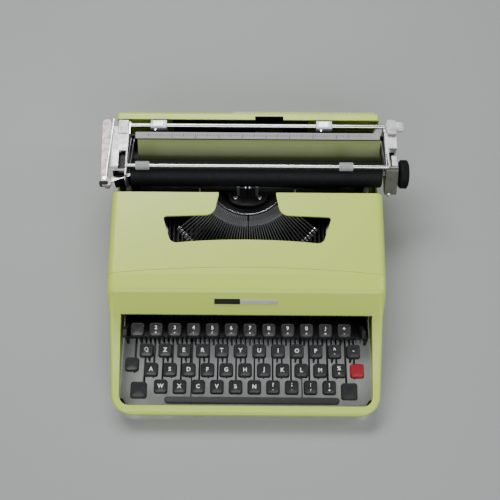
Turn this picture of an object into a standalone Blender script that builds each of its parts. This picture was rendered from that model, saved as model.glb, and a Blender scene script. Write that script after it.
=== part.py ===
"""Flat portable typewriter, built piece by piece in metres with +Z up.

The origin is the middle of the machine's footprint, on the surface it stands on.
Every length below is in millimetres. x runs to the typist's right, y runs to the back.
Pieces are laid out about the middle of the housing, and put() moves them to the origin.
"""
import math

import bmesh
import bpy
from mathutils import Matrix, Vector

MM = 0.001
GAP = 0.3

# Keyboard
KEY_PITCH = 19.05
CAP_SIZE = 13.5
CAP_CORNER = 2.6
CAP_DEPTH = 4.6
CAP_FLARE = 0.7
CAP_SLOPE = math.radians(8.0)
SHIFT_CAP = 16.2
ROW_FROM_FRONT = (77.0, 58.5, 41.1, 25.9)
ROW_TOP = (62.0, 53.0, 44.0, 35.5)
LEVER_THICK = 1.8
LEVER_HEIGHT = 5.0
LEVER_FLOOR = 16.5
STEM_WIDE = 4.0
SPACE_ARM_THICK = 0.9
SPACE_ARM_PLACES = (7.35, 31.35)

# Housing
BODY_DEPTH = 323.0
WELL_SIDE_MARGIN = 11.0
SIDE_LIP = 11.9
FRONT_LIP = 8.2
WELL_LENGTH = 87.6
WELL_CORNER = 10.0
WELL_RIM = 8.0
WALL = 2.0
FRONT_CORNER = 18.0
REAR_CORNER = 4.0
SIDE_DRAFT = 0.124
DRAFT_LEVEL = 58.0
FRONT_DRAFT = 2.8
FRONT_DRAFT_REACH = 60.0
HOUSING_FLOOR = 5.5
LIP_TOP = 25.0
APRON_FOOT = 56.0
APRON_DEPTH = 17.8
CREASE_TOP = 77.2
CREASE_RADIUS = 9.0
SEAM_BEHIND_APRON = 16.4
SEAM_ARCH = 8.0
SEAM_TOP = 80.0
COVER_TOP = 87.0
REAR_TOP = 88.0
SKIRT_FOOT = 70.0
LIP_SHOULDER = 3.0
HOOD_SHOULDER = 8.0
REAR_BAR = 10.6
BAR_SHOULDER = 3.0
NOTCH_X = (7.6, 38.8)
NOTCH_DEPTH = 4.5
BAY_DEPTH = 90.7
BAY_FLOOR = 62.0
FOOT_RADIUS = 4.5

# Opening in the cover
NECK_HALF = 30.3
NECK_LENGTH = 25.7
ARM_HALF = 88.3
ARM_FOOT_HALF = 78.8
OPENING_LENGTH = 57.6
OPENING_ARCH = 4.3

# Chassis
FRAME_THICK = 2.6
FRAME_TOP = 60.0
FLOOR_PLATE = 1.5
COMB_BOTTOM = 22.5
COMB_TOP = 30.0
GUIDE_TOP = 65.7
PIN_RADIUS = 3.0
PIN_FROM_COVER = 17.6
PIN_TOP = 64.4

# Type basket
BASKET_TILT = math.radians(15.0)
BASKET_CENTRE_HEIGHT = 58.0
SEGMENT_INNER = 35.0
SEGMENT_OUTER = 57.0
PIVOT_RADIUS = 55.0
TYPEBAR_COUNT = 45
FAN_HALF_ANGLE = math.radians(50.0)
TYPEBAR_THICK = 1.2
TYPEBAR_HIGH = 4.0
STRIKE_CLEARANCE = 2.0

# Ribbon
SPOOL_RADIUS = 21.0
SPOOL_HEIGHT = 14.0
SPOOL_FLOOR = 58.3
SPOOL_FROM_SIDE = 37.0

# Carriage
CARRIAGE_OFFSET = 11.0
CARRIAGE_FLOOR = 66.0
PLATEN_RADIUS = 14.5
PLATEN_LIFT = 64.5
PLATEN_FROM_REAR = 73.5
PLATEN_SHORT = 6.75
SHAFT_RADIUS = 3.4
LEFT_END_WIDE = 18.3
RIGHT_END_WIDE = 10.7
RIGHT_PLATE = 3.0
END_TOP = 93.0
KNOB_RADIUS = 15.4
KNOB_WIDE = 9.9
RAIL_RADIUS = 2.5
RAIL_HEIGHT = 92.0
RAIL_FROM_REAR = 21.8
STOP_WIDE = 17.7
BAIL_ROD_RADIUS = 2.0
BAIL_ROLLER_RADIUS = 4.6
BAIL_ROLLER_WIDE = 15.0
LEVER_REACH = 12.1

# Places that follow from the sizes above
BODY_FRONT = -BODY_DEPTH / 2
BODY_REAR = BODY_DEPTH / 2
WELL_HALF = 6.2 * KEY_PITCH + WELL_SIDE_MARGIN
BODY_HALF = WELL_HALF + SIDE_LIP
WELL_FRONT = BODY_FRONT + FRONT_LIP
WELL_REAR = WELL_FRONT + WELL_LENGTH
CREASE = WELL_REAR + APRON_DEPTH
SEAM_ENDS = CREASE + SEAM_BEHIND_APRON
COVER_REAR = BODY_REAR - REAR_BAR - BAY_DEPTH
BAR_FRONT = BODY_REAR - REAR_BAR
FULCRUM_Y = COVER_REAR + 8.3
FULCRUM_Z = LEVER_FLOOR + LEVER_HEIGHT / 2
FIRST_KEY_X = -4.8 * KEY_PITCH
FRAME_HALF = WELL_HALF - 1.3
PLATEN_Y = BODY_REAR - PLATEN_FROM_REAR
PLATEN_Z = PLATEN_LIFT + PLATEN_RADIUS
PLATEN_LEFT = CARRIAGE_OFFSET + PLATEN_SHORT - BODY_HALF
PLATEN_RIGHT = CARRIAGE_OFFSET - PLATEN_SHORT + BODY_HALF
LEFT_END_IN = PLATEN_LEFT - 5.65
LEFT_END_OUT = LEFT_END_IN - LEFT_END_WIDE
RIGHT_END_IN = PLATEN_RIGHT + 4.3
RIGHT_END_OUT = RIGHT_END_IN + RIGHT_END_WIDE
KNOB_IN = RIGHT_END_OUT + 2.2
RAIL_Y = BODY_REAR - RAIL_FROM_REAR
TABLE_FOOT_Y = PLATEN_Y + PLATEN_RADIUS + 2.6
SCALE_Y = RAIL_Y - 17.3
TOTAL_LEFT = LEFT_END_OUT - LEVER_REACH
TOTAL_RIGHT = KNOB_IN + KNOB_WIDE
MIDDLE_X = (TOTAL_LEFT + TOTAL_RIGHT) / 2

# Finishes: base colour, roughness, metallic
LIME_PAINT = ((0.56, 0.65, 0.28), 0.42, 0.0)
BLACK_ENAMEL = ((0.012, 0.012, 0.014), 0.45, 0.2)
BLACK_STEEL = ((0.03, 0.03, 0.033), 0.4, 0.8)
KEY_PLASTIC = ((0.022, 0.022, 0.024), 0.38, 0.0)
RED_PLASTIC = ((0.6, 0.015, 0.05), 0.32, 0.0)
BRIGHT_STEEL = ((0.72, 0.72, 0.74), 0.25, 1.0)
GREY_CASTING = ((0.5, 0.5, 0.53), 0.4, 1.0)
PLATEN_RUBBER = ((0.015, 0.015, 0.016), 0.6, 0.0)
SCALE_METAL = ((0.66, 0.66, 0.67), 0.35, 1.0)


def put(x, y, z):
    """Turn a place in millimetres about the housing into metres about the origin."""
    return Vector(((x - MIDDLE_X) * MM, y * MM, z * MM))


def finish(name, look):
    """A Principled material for one piece."""
    colour, roughness, metallic = look
    material = bpy.data.materials.new(name)
    material.use_nodes = True
    shader = material.node_tree.nodes["Principled BSDF"]
    shader.inputs["Base Color"].default_value = (*colour, 1.0)
    shader.inputs["Roughness"].default_value = roughness
    shader.inputs["Metallic"].default_value = metallic
    return material


def solid_from_rings(name, rings):
    """Skin a row of equal rings of (x, y, z) points and close both ends."""
    bm = bmesh.new()
    rows = [[bm.verts.new(put(*point)) for point in ring] for ring in rings]
    for near, far in zip(rows, rows[1:]):
        for i in range(len(near)):
            j = (i + 1) % len(near)
            bm.faces.new((near[i], near[j], far[j], far[i]))
    bm.faces.new(rows[0])
    bm.faces.new(rows[-1])
    bmesh.ops.recalc_face_normals(bm, faces=bm.faces)
    mesh = bpy.data.meshes.new(name)
    bm.to_mesh(mesh)
    bm.free()
    piece = bpy.data.objects.new(name, mesh)
    bpy.context.scene.collection.objects.link(piece)
    return piece


def prism(name, axis, outline, low, high):
    """Extrude a flat outline along an axis: X takes (y, z), Y takes (x, z), Z takes (x, y)."""
    place = {
        "X": lambda a, b, t: (t, a, b),
        "Y": lambda a, b, t: (a, t, b),
        "Z": lambda a, b, t: (a, b, t),
    }[axis]
    return solid_from_rings(name, [[place(a, b, t) for a, b in outline] for t in (low, high)])


def block(name, x, y, z):
    """A box between pairs of limits."""
    outline = [(x[0], y[0]), (x[1], y[0]), (x[1], y[1]), (x[0], y[1])]
    return prism(name, "Z", outline, z[0], z[1])


def arc(centre, radius, start, end, steps):
    """Points along an arc, angles in degrees."""
    points = []
    for i in range(steps + 1):
        angle = math.radians(start + (end - start) * i / steps)
        points.append((centre[0] + radius * math.cos(angle), centre[1] + radius * math.sin(angle)))
    return points


def fillet(corners, closed=True, step=26.0):
    """Round the corners of an outline. Each corner is (a, b, radius)."""
    points = []
    count = len(corners)
    for i, (a, b, radius) in enumerate(corners):
        at_end = not closed and i in (0, count - 1)
        if radius <= 0 or at_end:
            points.append((a, b))
            continue
        here = Vector((a, b))
        before = (Vector(corners[i - 1][:2]) - here).normalized()
        after = (Vector(corners[(i + 1) % count][:2]) - here).normalized()
        half = before.angle(after) / 2
        start = here + before * (radius / math.tan(half))
        centre = here + (before + after).normalized() * (radius / math.sin(half))
        turn = math.pi - 2 * half
        side = 1 if before.x * after.y - before.y * after.x < 0 else -1
        steps = max(1, math.ceil(math.degrees(turn) / step))
        arm = start - centre
        for k in range(steps + 1):
            spin = side * turn * k / steps
            points.append((
                centre.x + arm.x * math.cos(spin) - arm.y * math.sin(spin),
                centre.y + arm.x * math.sin(spin) + arm.y * math.cos(spin),
            ))
    return points


def rounded_box(centre, size, radius, step=30.0):
    """Outline of a rectangle with round corners."""
    a, b = size[0] / 2, size[1] / 2
    corners = [(-a, -b), (a, -b), (a, b), (-a, b)]
    return fillet([(centre[0] + p, centre[1] + q, radius) for p, q in corners], step=step)


def turned(name, axis, centre, profile, steps):
    """Turn a profile of (place along the axis, radius) about an X or Z axis."""
    rings = []
    for along, radius in profile:
        ring = []
        for i in range(steps):
            angle = 2 * math.pi * i / steps
            a, b = radius * math.cos(angle), radius * math.sin(angle)
            if axis == "X":
                ring.append((along, centre[0] + a, centre[1] + b))
            else:
                ring.append((centre[0] + a, centre[1] + b, along))
        rings.append(ring)
    return solid_from_rings(name, rings)


def combine(piece, tool, operation):
    """Boolean the tool into the piece and throw the tool away."""
    modifier = piece.modifiers.new(operation.lower(), "BOOLEAN")
    modifier.operation = operation
    modifier.solver = "EXACT"
    modifier.object = tool
    graph = bpy.context.evaluated_depsgraph_get()
    result = bpy.data.meshes.new_from_object(piece.evaluated_get(graph))
    old = piece.data
    piece.modifiers.clear()
    piece.data = result
    bpy.data.meshes.remove(old)
    bpy.data.objects.remove(tool)
    return piece


def cut(piece, *tools):
    for tool in tools:
        combine(piece, tool, "DIFFERENCE")
    return piece


def join(piece, *tools):
    for tool in tools:
        combine(piece, tool, "UNION")
    return piece


def settle(piece, look, pivot=None, smooth=False):
    """Give a piece its finish and put its origin on its joint."""
    piece.data.name = piece.name
    piece.data.materials.clear()
    piece.data.materials.append(finish(piece.name + "_finish", look))
    if smooth:
        piece.data.shade_smooth()
        piece.data.set_sharp_from_angle(angle=math.radians(35))
    if pivot is not None:
        origin = put(*pivot)
        piece.data.transform(Matrix.Translation(-origin))
        piece.location = origin
    return piece


# Housing and cover


def top_line(inset):
    """Side view of the housing's upper surface, from front to rear."""
    corners = [
        (BODY_FRONT, LIP_TOP - LIP_SHOULDER, 0),
        (BODY_FRONT + LIP_SHOULDER, LIP_TOP, 2.0),
        (WELL_REAR, APRON_FOOT, 0),
        (CREASE, CREASE_TOP, CREASE_RADIUS),
        (SEAM_ENDS, SEAM_TOP, 0),
        (COVER_REAR, COVER_TOP, 0),
        (BODY_REAR - LIP_SHOULDER, REAR_TOP, 2.0),
        (BODY_REAR, REAR_TOP - LIP_SHOULDER, 0),
    ]
    return [(y, z - inset) for y, z in fillet(corners, closed=False, step=16.0)]


def height_at(line, y):
    """Height of a side view at one place."""
    for (y0, z0), (y1, z1) in zip(line, line[1:]):
        if y <= y1:
            return z0 + (z1 - z0) * max(0.0, y - y0) / (y1 - y0)
    return line[-1][1]


def side_lean(z):
    """How far the sides stand out at a height, as they widen upwards."""
    return SIDE_DRAFT * (z - DRAFT_LEVEL)


def shoulder_at(y):
    """Radius along the long top edges: full over the hood, small at lip and rear bar."""
    rise = min(1.0, max(0.0, (y - WELL_REAR) / APRON_DEPTH))
    fall = min(1.0, max(0.0, (y - COVER_REAR - 20) / 40))
    full = LIP_SHOULDER + (HOOD_SHOULDER - LIP_SHOULDER) * rise
    return full + (BAR_SHOULDER - full) * fall


def body_form(name, inset):
    """The whole outer form of the machine, or the room inside its walls."""
    line = top_line(inset)
    front, rear = BODY_FRONT + inset, BODY_REAR - inset
    half = BODY_HALF - inset
    front_corner, rear_corner = FRONT_CORNER - inset, REAR_CORNER - inset
    stations = {}
    for i in range(5):
        angle = math.radians(22.5 * i)
        forward = front + front_corner * (1 - math.cos(angle))
        backward = rear - rear_corner * (1 - math.cos(angle))
        stations[forward] = half - front_corner * (1 - math.sin(angle))
        stations[backward] = half - rear_corner * (1 - math.sin(angle))
    for y, _ in line:
        if front + front_corner < y < rear - rear_corner:
            stations[y] = half
    rings = []
    floor = HOUSING_FLOOR - 3 * inset
    for y in sorted(stations):
        shoulder = shoulder_at(y) - inset / 2
        width, top = stations[y], height_at(line, y)
        crown = width + side_lean(top - shoulder)
        corners = arc((crown - shoulder, top - shoulder), shoulder, 0, 90, 4)
        right = [(width + side_lean(floor), floor), *corners]
        left = [(-x, z) for x, z in reversed(right)]
        lean = FRONT_DRAFT * max(0.0, 1 - (y - front) / FRONT_DRAFT_REACH) / (top - floor)
        rings.append([(x, y + lean * (top - z), z) for x, z in right + left])
    return solid_from_rings(name, rings)


def seam_line(offset):
    """Arched seam between housing and cover, from left to right."""
    points = []
    for i in range(13):
        share = i / 6 - 1
        x = share * (BODY_HALF + 6)
        points.append((x, SEAM_ENDS + offset + SEAM_ARCH * (1 - share * share)))
    return points


def behind_seam(name, offset, rear, low, high):
    """Everything behind the seam, up to a given rear line."""
    wide = BODY_HALF + 6
    outline = seam_line(offset) + [(wide, rear), (-wide, rear)]
    return prism(name, "Z", outline, low, high)


def make_lower_housing():
    high = REAR_TOP + 20
    room = body_form("room", WALL)
    rim = prism("rim", "Z", rounded_well(WELL_HALF + WALL, WELL_FRONT - WALL), -20, high)
    cut(room, cut(rim, below_rim()))
    housing = cut(body_form("lower_housing", 0), room)
    well = rounded_well(WELL_HALF, WELL_FRONT)
    cut(housing, prism("well", "Z", well, -20, high))
    cut(housing, behind_seam("cover_seat", 0, BAR_FRONT, SKIRT_FOOT, high))
    bay = block("bay", (-BODY_HALF - 6, BODY_HALF + 6), (COVER_REAR, BAR_FRONT), (BAY_FLOOR, high))
    cut(housing, bay)
    notch_y = (BAR_FRONT - 2, BAR_FRONT + NOTCH_DEPTH)
    cut(housing, block("notch", NOTCH_X, notch_y, (BAY_FLOOR, high)))
    for x, y in foot_places():
        foot = turned("foot", "Z", (x, y), [(0, FOOT_RADIUS), (14, FOOT_RADIUS)], 14)
        join(housing, foot)
    return settle(housing, LIME_PAINT, smooth=True)


def foot_places():
    """Middles of the four feet, just inside the foot of the side walls."""
    side = BODY_HALF + side_lean(HOUSING_FLOOR) - FOOT_RADIUS - 0.2
    return [(x, y) for x in (-side, side) for y in (BODY_FRONT + 14.5, BODY_REAR - 10.5)]


def below_rim():
    """Everything more than the rim's depth below the sloping top of the well."""
    front, rear = WELL_FRONT - 10, WELL_REAR + 10
    slope = (APRON_FOOT - LIP_TOP) / (WELL_REAR - BODY_FRONT - LIP_SHOULDER)
    rear_top = APRON_FOOT + slope * 10 - WELL_RIM
    front_top = rear_top - slope * (rear - front)
    outline = [(front, -30), (rear, -30), (rear, rear_top), (front, front_top)]
    return prism("below_rim", "X", outline, -BODY_HALF - 6, BODY_HALF + 6)


def rounded_well(half, front):
    """Plan of the keyboard well, square at its rear edge."""
    corners = [
        (-half, WELL_REAR, 0),
        (-half, front, WELL_CORNER),
        (half, front, WELL_CORNER),
        (half, WELL_REAR, 0),
    ]
    return fillet(corners)


def opening_outline():
    """Plan of the T-shaped opening over the type basket."""
    foot = COVER_REAR - OPENING_LENGTH
    shoulder = COVER_REAR - NECK_LENGTH
    right = [
        (0, foot + OPENING_ARCH, 0),
        (ARM_FOOT_HALF * 0.55, foot + OPENING_ARCH * 0.72, 0),
        (ARM_FOOT_HALF, foot, 8),
        (ARM_HALF, shoulder - 2, 3),
        (NECK_HALF + 4.5, shoulder, 11),
        (NECK_HALF, COVER_REAR - 3, 0),
        (NECK_HALF, COVER_REAR + 5, 0),
    ]
    left = [(-x, y, radius) for x, y, radius in reversed(right[1:])]
    return fillet(right + left, step=20.0)


def make_top_cover():
    high = REAR_TOP + 20
    cover = body_form("top_cover", 0)
    keep = behind_seam("keep", GAP, COVER_REAR, SKIRT_FOOT + GAP, high)
    combine(cover, keep, "INTERSECT")
    opening = prism("opening", "Z", opening_outline(), SKIRT_FOOT - 20, high)
    cut(cover, body_form("room", WALL), opening)
    return settle(cover, LIME_PAINT, pivot=(0, COVER_REAR, COVER_TOP), smooth=True)


def make_chassis():
    rear = BAR_FRONT - 6
    comb_front = BODY_FRONT + ROW_FROM_FRONT[0] + 3.5
    floor = HOUSING_FLOOR + FLOOR_PLATE
    side_outline = [
        (comb_front, HOUSING_FLOOR),
        (comb_front, COMB_TOP),
        (comb_front + 18, COMB_TOP),
        (CREASE, FRAME_TOP - 8),
        (CREASE + 10, FRAME_TOP),
        (rear, FRAME_TOP),
        (rear, HOUSING_FLOOR),
    ]
    inner = FRAME_HALF - FRAME_THICK
    wide = (-inner - 1, inner + 1)
    chassis = block("chassis", wide, (comb_front + 20, rear), (HOUSING_FLOOR, floor))
    for side in (-1, 1):
        low, high = sorted((side * inner, side * FRAME_HALF))
        join(chassis, prism("side", "X", side_outline, low, high))
        shelf_x = sorted((side * (BODY_HALF - SPOOL_FROM_SIDE - 6), side * (inner + 1)))
        shelf_y = (spool_y() - 6, spool_y() + 6)
        join(chassis, block("shelf", shelf_x, shelf_y, (SPOOL_FLOOR - 3.3, SPOOL_FLOOR - GAP)))
        pin_x = side * (FRAME_HALF + 1.6)
        pin_y = COVER_REAR + PIN_FROM_COVER
        ear_x = (pin_x - 4, pin_x + 4)
        ear_y = (pin_y - 3.8, pin_y + 3.8)
        join(chassis, block("ear", ear_x, ear_y, (FRAME_TOP - 3, FRAME_TOP + 0.6)))
        pin_profile = [(FRAME_TOP - 1, PIN_RADIUS), (PIN_TOP, PIN_RADIUS)]
        join(chassis, turned("pin", "Z", (pin_x, pin_y), pin_profile, 12))
    join(chassis, block("comb", wide, (comb_front, comb_front + 18), (COMB_BOTTOM, COMB_TOP)))
    fulcrum = block("fulcrum", wide, (FULCRUM_Y - 2, FULCRUM_Y + 5), (floor - 0.5, LEVER_FLOOR - GAP))
    join(chassis, fulcrum)
    guide_y = (RAIL_Y - 31, RAIL_Y - 7)
    join(chassis, block("guide", wide, guide_y, (FRAME_TOP - 4, GUIDE_TOP)))
    return settle(chassis, BLACK_ENAMEL)


# Keys


def lever_outline(stem_y, top):
    """Side view of a key lever with its upright stem at the front."""
    rear = FULCRUM_Y + 3.5
    low, high = LEVER_FLOOR, LEVER_FLOOR + LEVER_HEIGHT
    return [
        (rear, low),
        (rear, high - 1.5),
        (rear - 1.5, high),
        (stem_y + STEM_WIDE / 2, high),
        (stem_y + STEM_WIDE / 2, top),
        (stem_y - STEM_WIDE / 2, top),
        (stem_y - STEM_WIDE / 2, low + 1),
        (stem_y - STEM_WIDE / 2 + 1, low),
    ]


def cap_form(name, centre, top, size):
    """A square cap with round corners, wider at its foot and sloping to the typist."""
    slope = math.tan(CAP_SLOPE)
    rings = []
    for height, grow, follow in ((top - CAP_DEPTH, CAP_FLARE, 0.6), (top - 0.9, 0, 1), (top, -1.3, 1)):
        outline = rounded_box(centre, (size[0] + grow, size[1] + grow), CAP_CORNER + grow / 2)
        rings.append([(x, y, height + (y - centre[1]) * slope * follow) for x, y in outline])
    return solid_from_rings(name, rings)


def lever_form(name, x, stem_y, top, thick=LEVER_THICK):
    return prism(name, "X", lever_outline(stem_y, top), x - thick / 2, x + thick / 2)


def make_key(name, x, row, look=KEY_PLASTIC, size=CAP_SIZE, shift_y=0.0, lever_x=None):
    """One key: cap, stem and lever in one solid that rocks on the fulcrum."""
    y = BODY_FRONT + ROW_FROM_FRONT[row] + shift_y
    top = ROW_TOP[row]
    key = cap_form(name, (x, y), top, (size, size))
    join(key, lever_form("lever", x if lever_x is None else lever_x, y, top - CAP_DEPTH / 2))
    return settle(key, look, pivot=(x, FULCRUM_Y, FULCRUM_Z))


LETTER_ROWS = (
    (1, -0.5, ("q", "z", "e", "r", "t", "y", "u", "i", "o", "p", "circumflex")),
    (2, -0.25, ("a", "s", "d", "f", "g", "h", "j", "k", "l", "m", "percent")),
    (3, 0.25, ("w", "x", "c", "v", "b", "n", "question", "semicolon", "colon", "exclamation")),
)
NUMBER_KEYS = 11


def make_letter_keys():
    for row, stagger, names in LETTER_ROWS:
        for i, name in enumerate(names):
            make_key("key_" + name, FIRST_KEY_X + (i + stagger) * KEY_PITCH, row)


def make_number_key_bank():
    """The number row, whose levers share one tie bar above the fulcrum."""
    y = BODY_FRONT + ROW_FROM_FRONT[0]
    last = FIRST_KEY_X + (NUMBER_KEYS - 1) * KEY_PITCH
    tie_y = (FULCRUM_Y - 8, FULCRUM_Y - 2)
    tie_z = (COMB_BOTTOM, COMB_BOTTOM + 2.5)
    bank = block("number_key_bank", (FIRST_KEY_X - 2, last + 2), tie_y, tie_z)
    for i in range(NUMBER_KEYS):
        x = FIRST_KEY_X + i * KEY_PITCH
        key = cap_form("cap", (x, y), ROW_TOP[0], (CAP_SIZE, CAP_SIZE))
        join(key, lever_form("lever", x, y, ROW_TOP[0] - CAP_DEPTH / 2))
        riser_x = (x - LEVER_THICK / 2 + 0.1, x + LEVER_THICK / 2 - 0.1)
        riser = block("riser", riser_x, (tie_y[0] + 1, tie_y[1] - 1), (FULCRUM_Z, tie_z[0] + 1))
        join(key, riser)
        join(bank, key)
    return settle(bank, KEY_PLASTIC, pivot=(0, FULCRUM_Y, FULCRUM_Z))


def make_function_keys():
    pitch = KEY_PITCH
    first = FIRST_KEY_X
    last_letter = first + 10 * pitch
    make_key("margin_release_key", first - 0.98 * pitch, 0)
    make_key("backspace_key", last_letter + pitch / 2, 1)
    make_key("shift_lock_key", first - 1.29 * pitch, 2, shift_y=5.3)
    make_key("tab_key", last_letter + 0.72 * pitch, 2, look=RED_PLASTIC, size=CAP_SIZE + 0.3)


def make_shift_keys():
    """Both shift keys, tied behind the fulcrum by one bail."""
    y = BODY_FRONT + ROW_FROM_FRONT[3] - 3.8
    top = ROW_TOP[3]
    lever_left = FIRST_KEY_X - 0.735 * KEY_PITCH
    lever_right = FIRST_KEY_X + 10.25 * KEY_PITCH
    bail_y = (FULCRUM_Y + 6, FULCRUM_Y + 9.5)
    wide = (lever_left - 0.9, lever_right + 0.9)
    shift = block("shift_keys", wide, bail_y, (LEVER_FLOOR + 0.5, LEVER_FLOOR + 4))
    caps = ((lever_left - 3.4, lever_left), (lever_right + 1.2, lever_right))
    for cap_x, lever_x in caps:
        half = LEVER_THICK / 2
        key = cap_form("cap", (cap_x, y), top, (SHIFT_CAP, SHIFT_CAP))
        join(key, lever_form("lever", lever_x, y, top - CAP_DEPTH / 2))
        link_y = (FULCRUM_Y, bail_y[0] + 1)
        link_z = (LEVER_FLOOR + 1, LEVER_FLOOR + 3.5)
        join(key, block("link", (lever_x - half + 0.1, lever_x + half - 0.1), link_y, link_z))
        join(shift, key)
    return settle(shift, KEY_PLASTIC, pivot=(0, FULCRUM_Y, FULCRUM_Z))


def make_space_bar():
    """The bar with two thin arms that clear the caps of the front row and the key levers."""
    left = FIRST_KEY_X + 0.46 * KEY_PITCH
    right = FIRST_KEY_X + 9.8 * KEY_PITCH
    front = WELL_FRONT + 2.0
    rear = front + 6.6
    low, high = ROW_TOP[3] - 10.5, ROW_TOP[3] - 5.5
    outline = rounded_box(((left + right) / 2, (front + rear) / 2), (right - left, rear - front), 3.0)
    bar = prism("space_bar", "Z", outline, low, high)
    for place in SPACE_ARM_PLACES:
        x = FIRST_KEY_X + place * KEY_PITCH / 4
        join(bar, lever_form("arm", x, (front + rear) / 2, high - 2, thick=SPACE_ARM_THICK))
    return settle(bar, KEY_PLASTIC, pivot=(0, FULCRUM_Y, FULCRUM_Z))


def make_well_lever(name, x):
    """A small upright lever in the rear corner of the keyboard well."""
    pivot_y, pivot_z = WELL_REAR - 7, COMB_TOP + 7
    front = BODY_FRONT + ROW_FROM_FRONT[0] - 9.5
    outline = fillet([
        (pivot_y - 4, pivot_z - 4, 2),
        (pivot_y + 4, pivot_z - 4, 2),
        (pivot_y + 4, pivot_z + 2, 2),
        (front + 9.5, ROW_TOP[0], 1.5),
        (front, ROW_TOP[0], 1.5),
    ], step=45.0)
    lever = prism(name, "X", outline, x - 2, x + 2)
    return settle(lever, BLACK_STEEL, pivot=(x, pivot_y, pivot_z))


# Type basket and ribbon


def basket_centre():
    """Centre of the typebar circle, below and behind the printing point."""
    return (0, PLATEN_Y + 9.5, BASKET_CENTRE_HEIGHT)


def basket_place(radius, angle, rise):
    """A place in the tilted plane of the basket. Angle 0 points to the typist."""
    across = radius * math.sin(angle)
    forward = radius * math.cos(angle)
    _, y, z = basket_centre()
    tilt = BASKET_TILT
    return (
        across,
        y - forward * math.cos(tilt) - rise * math.sin(tilt),
        z - forward * math.sin(tilt) + rise * math.cos(tilt),
    )


def typebar_length():
    """From its pivot to just short of the platen's face."""
    _, y, z = basket_place(PIVOT_RADIUS, 0, 0)
    reach = math.hypot(PLATEN_Y - y, PLATEN_Z - z)
    tangent = math.sqrt(reach * reach - PLATEN_RADIUS * PLATEN_RADIUS)
    return min(tangent, math.hypot(PLATEN_Y - PLATEN_RADIUS - y, PLATEN_Z - z)) - STRIKE_CLEARANCE


def basket_prism(name, outline):
    """Extrude an outline of (radius, angle) square to the basket's plane."""
    half = TYPEBAR_HIGH / 2
    rings = [[basket_place(r, a, rise) for r, a in outline] for rise in (-half, half)]
    return solid_from_rings(name, rings)


def make_type_basket():
    """Segment and resting typebars in one comb, with a slot for the bar that moves."""
    outer = PIVOT_RADIUS + typebar_length()
    middle = TYPEBAR_COUNT // 2
    outline = []
    for i in range(TYPEBAR_COUNT):
        angle = FAN_HALF_ANGLE * (i - middle) / middle
        half = TYPEBAR_THICK / 2
        if i == middle:
            slot = half + 0.45
            floor = PIVOT_RADIUS - 6
            outline.append((SEGMENT_OUTER, -slot / SEGMENT_OUTER))
            outline.append((floor, -slot / floor))
            outline.append((floor, slot / floor))
            outline.append((SEGMENT_OUTER, slot / SEGMENT_OUTER))
            continue
        outline.append((SEGMENT_OUTER, angle - half / SEGMENT_OUTER))
        outline.append((outer, angle - half / outer))
        outline.append((outer, angle + half / outer))
        outline.append((SEGMENT_OUTER, angle + half / SEGMENT_OUTER))
    for i in range(13):
        outline.append((SEGMENT_INNER, FAN_HALF_ANGLE * (1 - i / 6)))
    basket = basket_prism("type_basket", outline)
    return settle(basket, BLACK_STEEL, pivot=basket_centre())


def make_typebar():
    """The bar of the H key, a hinge at the segment and a type slug at its end."""
    half = TYPEBAR_THICK / 2
    length = typebar_length()
    tail = PIVOT_RADIUS - 3.5
    outer = PIVOT_RADIUS + length
    outline = [
        (tail, -half / tail),
        (outer, -half / outer),
        (outer, half / outer),
        (tail, half / tail),
    ]
    bar = basket_prism("typebar_h", outline)
    return settle(bar, BRIGHT_STEEL, pivot=basket_place(PIVOT_RADIUS, 0, 0))


def spool_y():
    return COVER_REAR - 39.7


def make_spool(name, side):
    x = side * (BODY_HALF - SPOOL_FROM_SIDE)
    low, high = SPOOL_FLOOR, SPOOL_FLOOR + SPOOL_HEIGHT
    core = SPOOL_RADIUS * 0.72
    profile = [
        (low, SPOOL_RADIUS - 0.6),
        (low + 0.5, SPOOL_RADIUS),
        (low + 1.2, SPOOL_RADIUS),
        (low + 1.2, core),
        (high - 1.2, core),
        (high - 1.2, SPOOL_RADIUS),
        (high - 0.5, SPOOL_RADIUS),
        (high, SPOOL_RADIUS - 0.6),
    ]
    spool = turned(name, "Z", (x, spool_y()), profile, 22)
    return settle(spool, BLACK_STEEL, pivot=(x, spool_y(), low), smooth=True)


# Carriage


def left_end_outline(inset):
    """Side view of the left end of the carriage."""
    front, rear = PLATEN_Y - 12, RAIL_Y + 6.1
    return fillet([
        (front + inset, CARRIAGE_FLOOR - 3 * inset, 0),
        (rear - inset, CARRIAGE_FLOOR - 3 * inset, 0),
        (rear - inset, END_TOP - inset, max(0.5, 2 - inset)),
        (front + 5, END_TOP - inset, 4),
        (front + inset, END_TOP - 6 - inset, 2),
    ])


def right_end_outline(inset):
    """Side view of the right end cover, which runs down steeply in front."""
    rear = RAIL_Y - 13.2
    toe = PLATEN_Y - 24.8
    return fillet([
        (toe + 2 + inset, CARRIAGE_FLOOR - 3 * inset, 0),
        (rear - inset, CARRIAGE_FLOOR - 3 * inset, 0),
        (rear - inset, END_TOP + 1 - inset, max(0.5, 2 - inset)),
        (PLATEN_Y + 2, END_TOP + 1 - inset, 7),
        (toe + inset, 70, 1),
    ])


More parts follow.
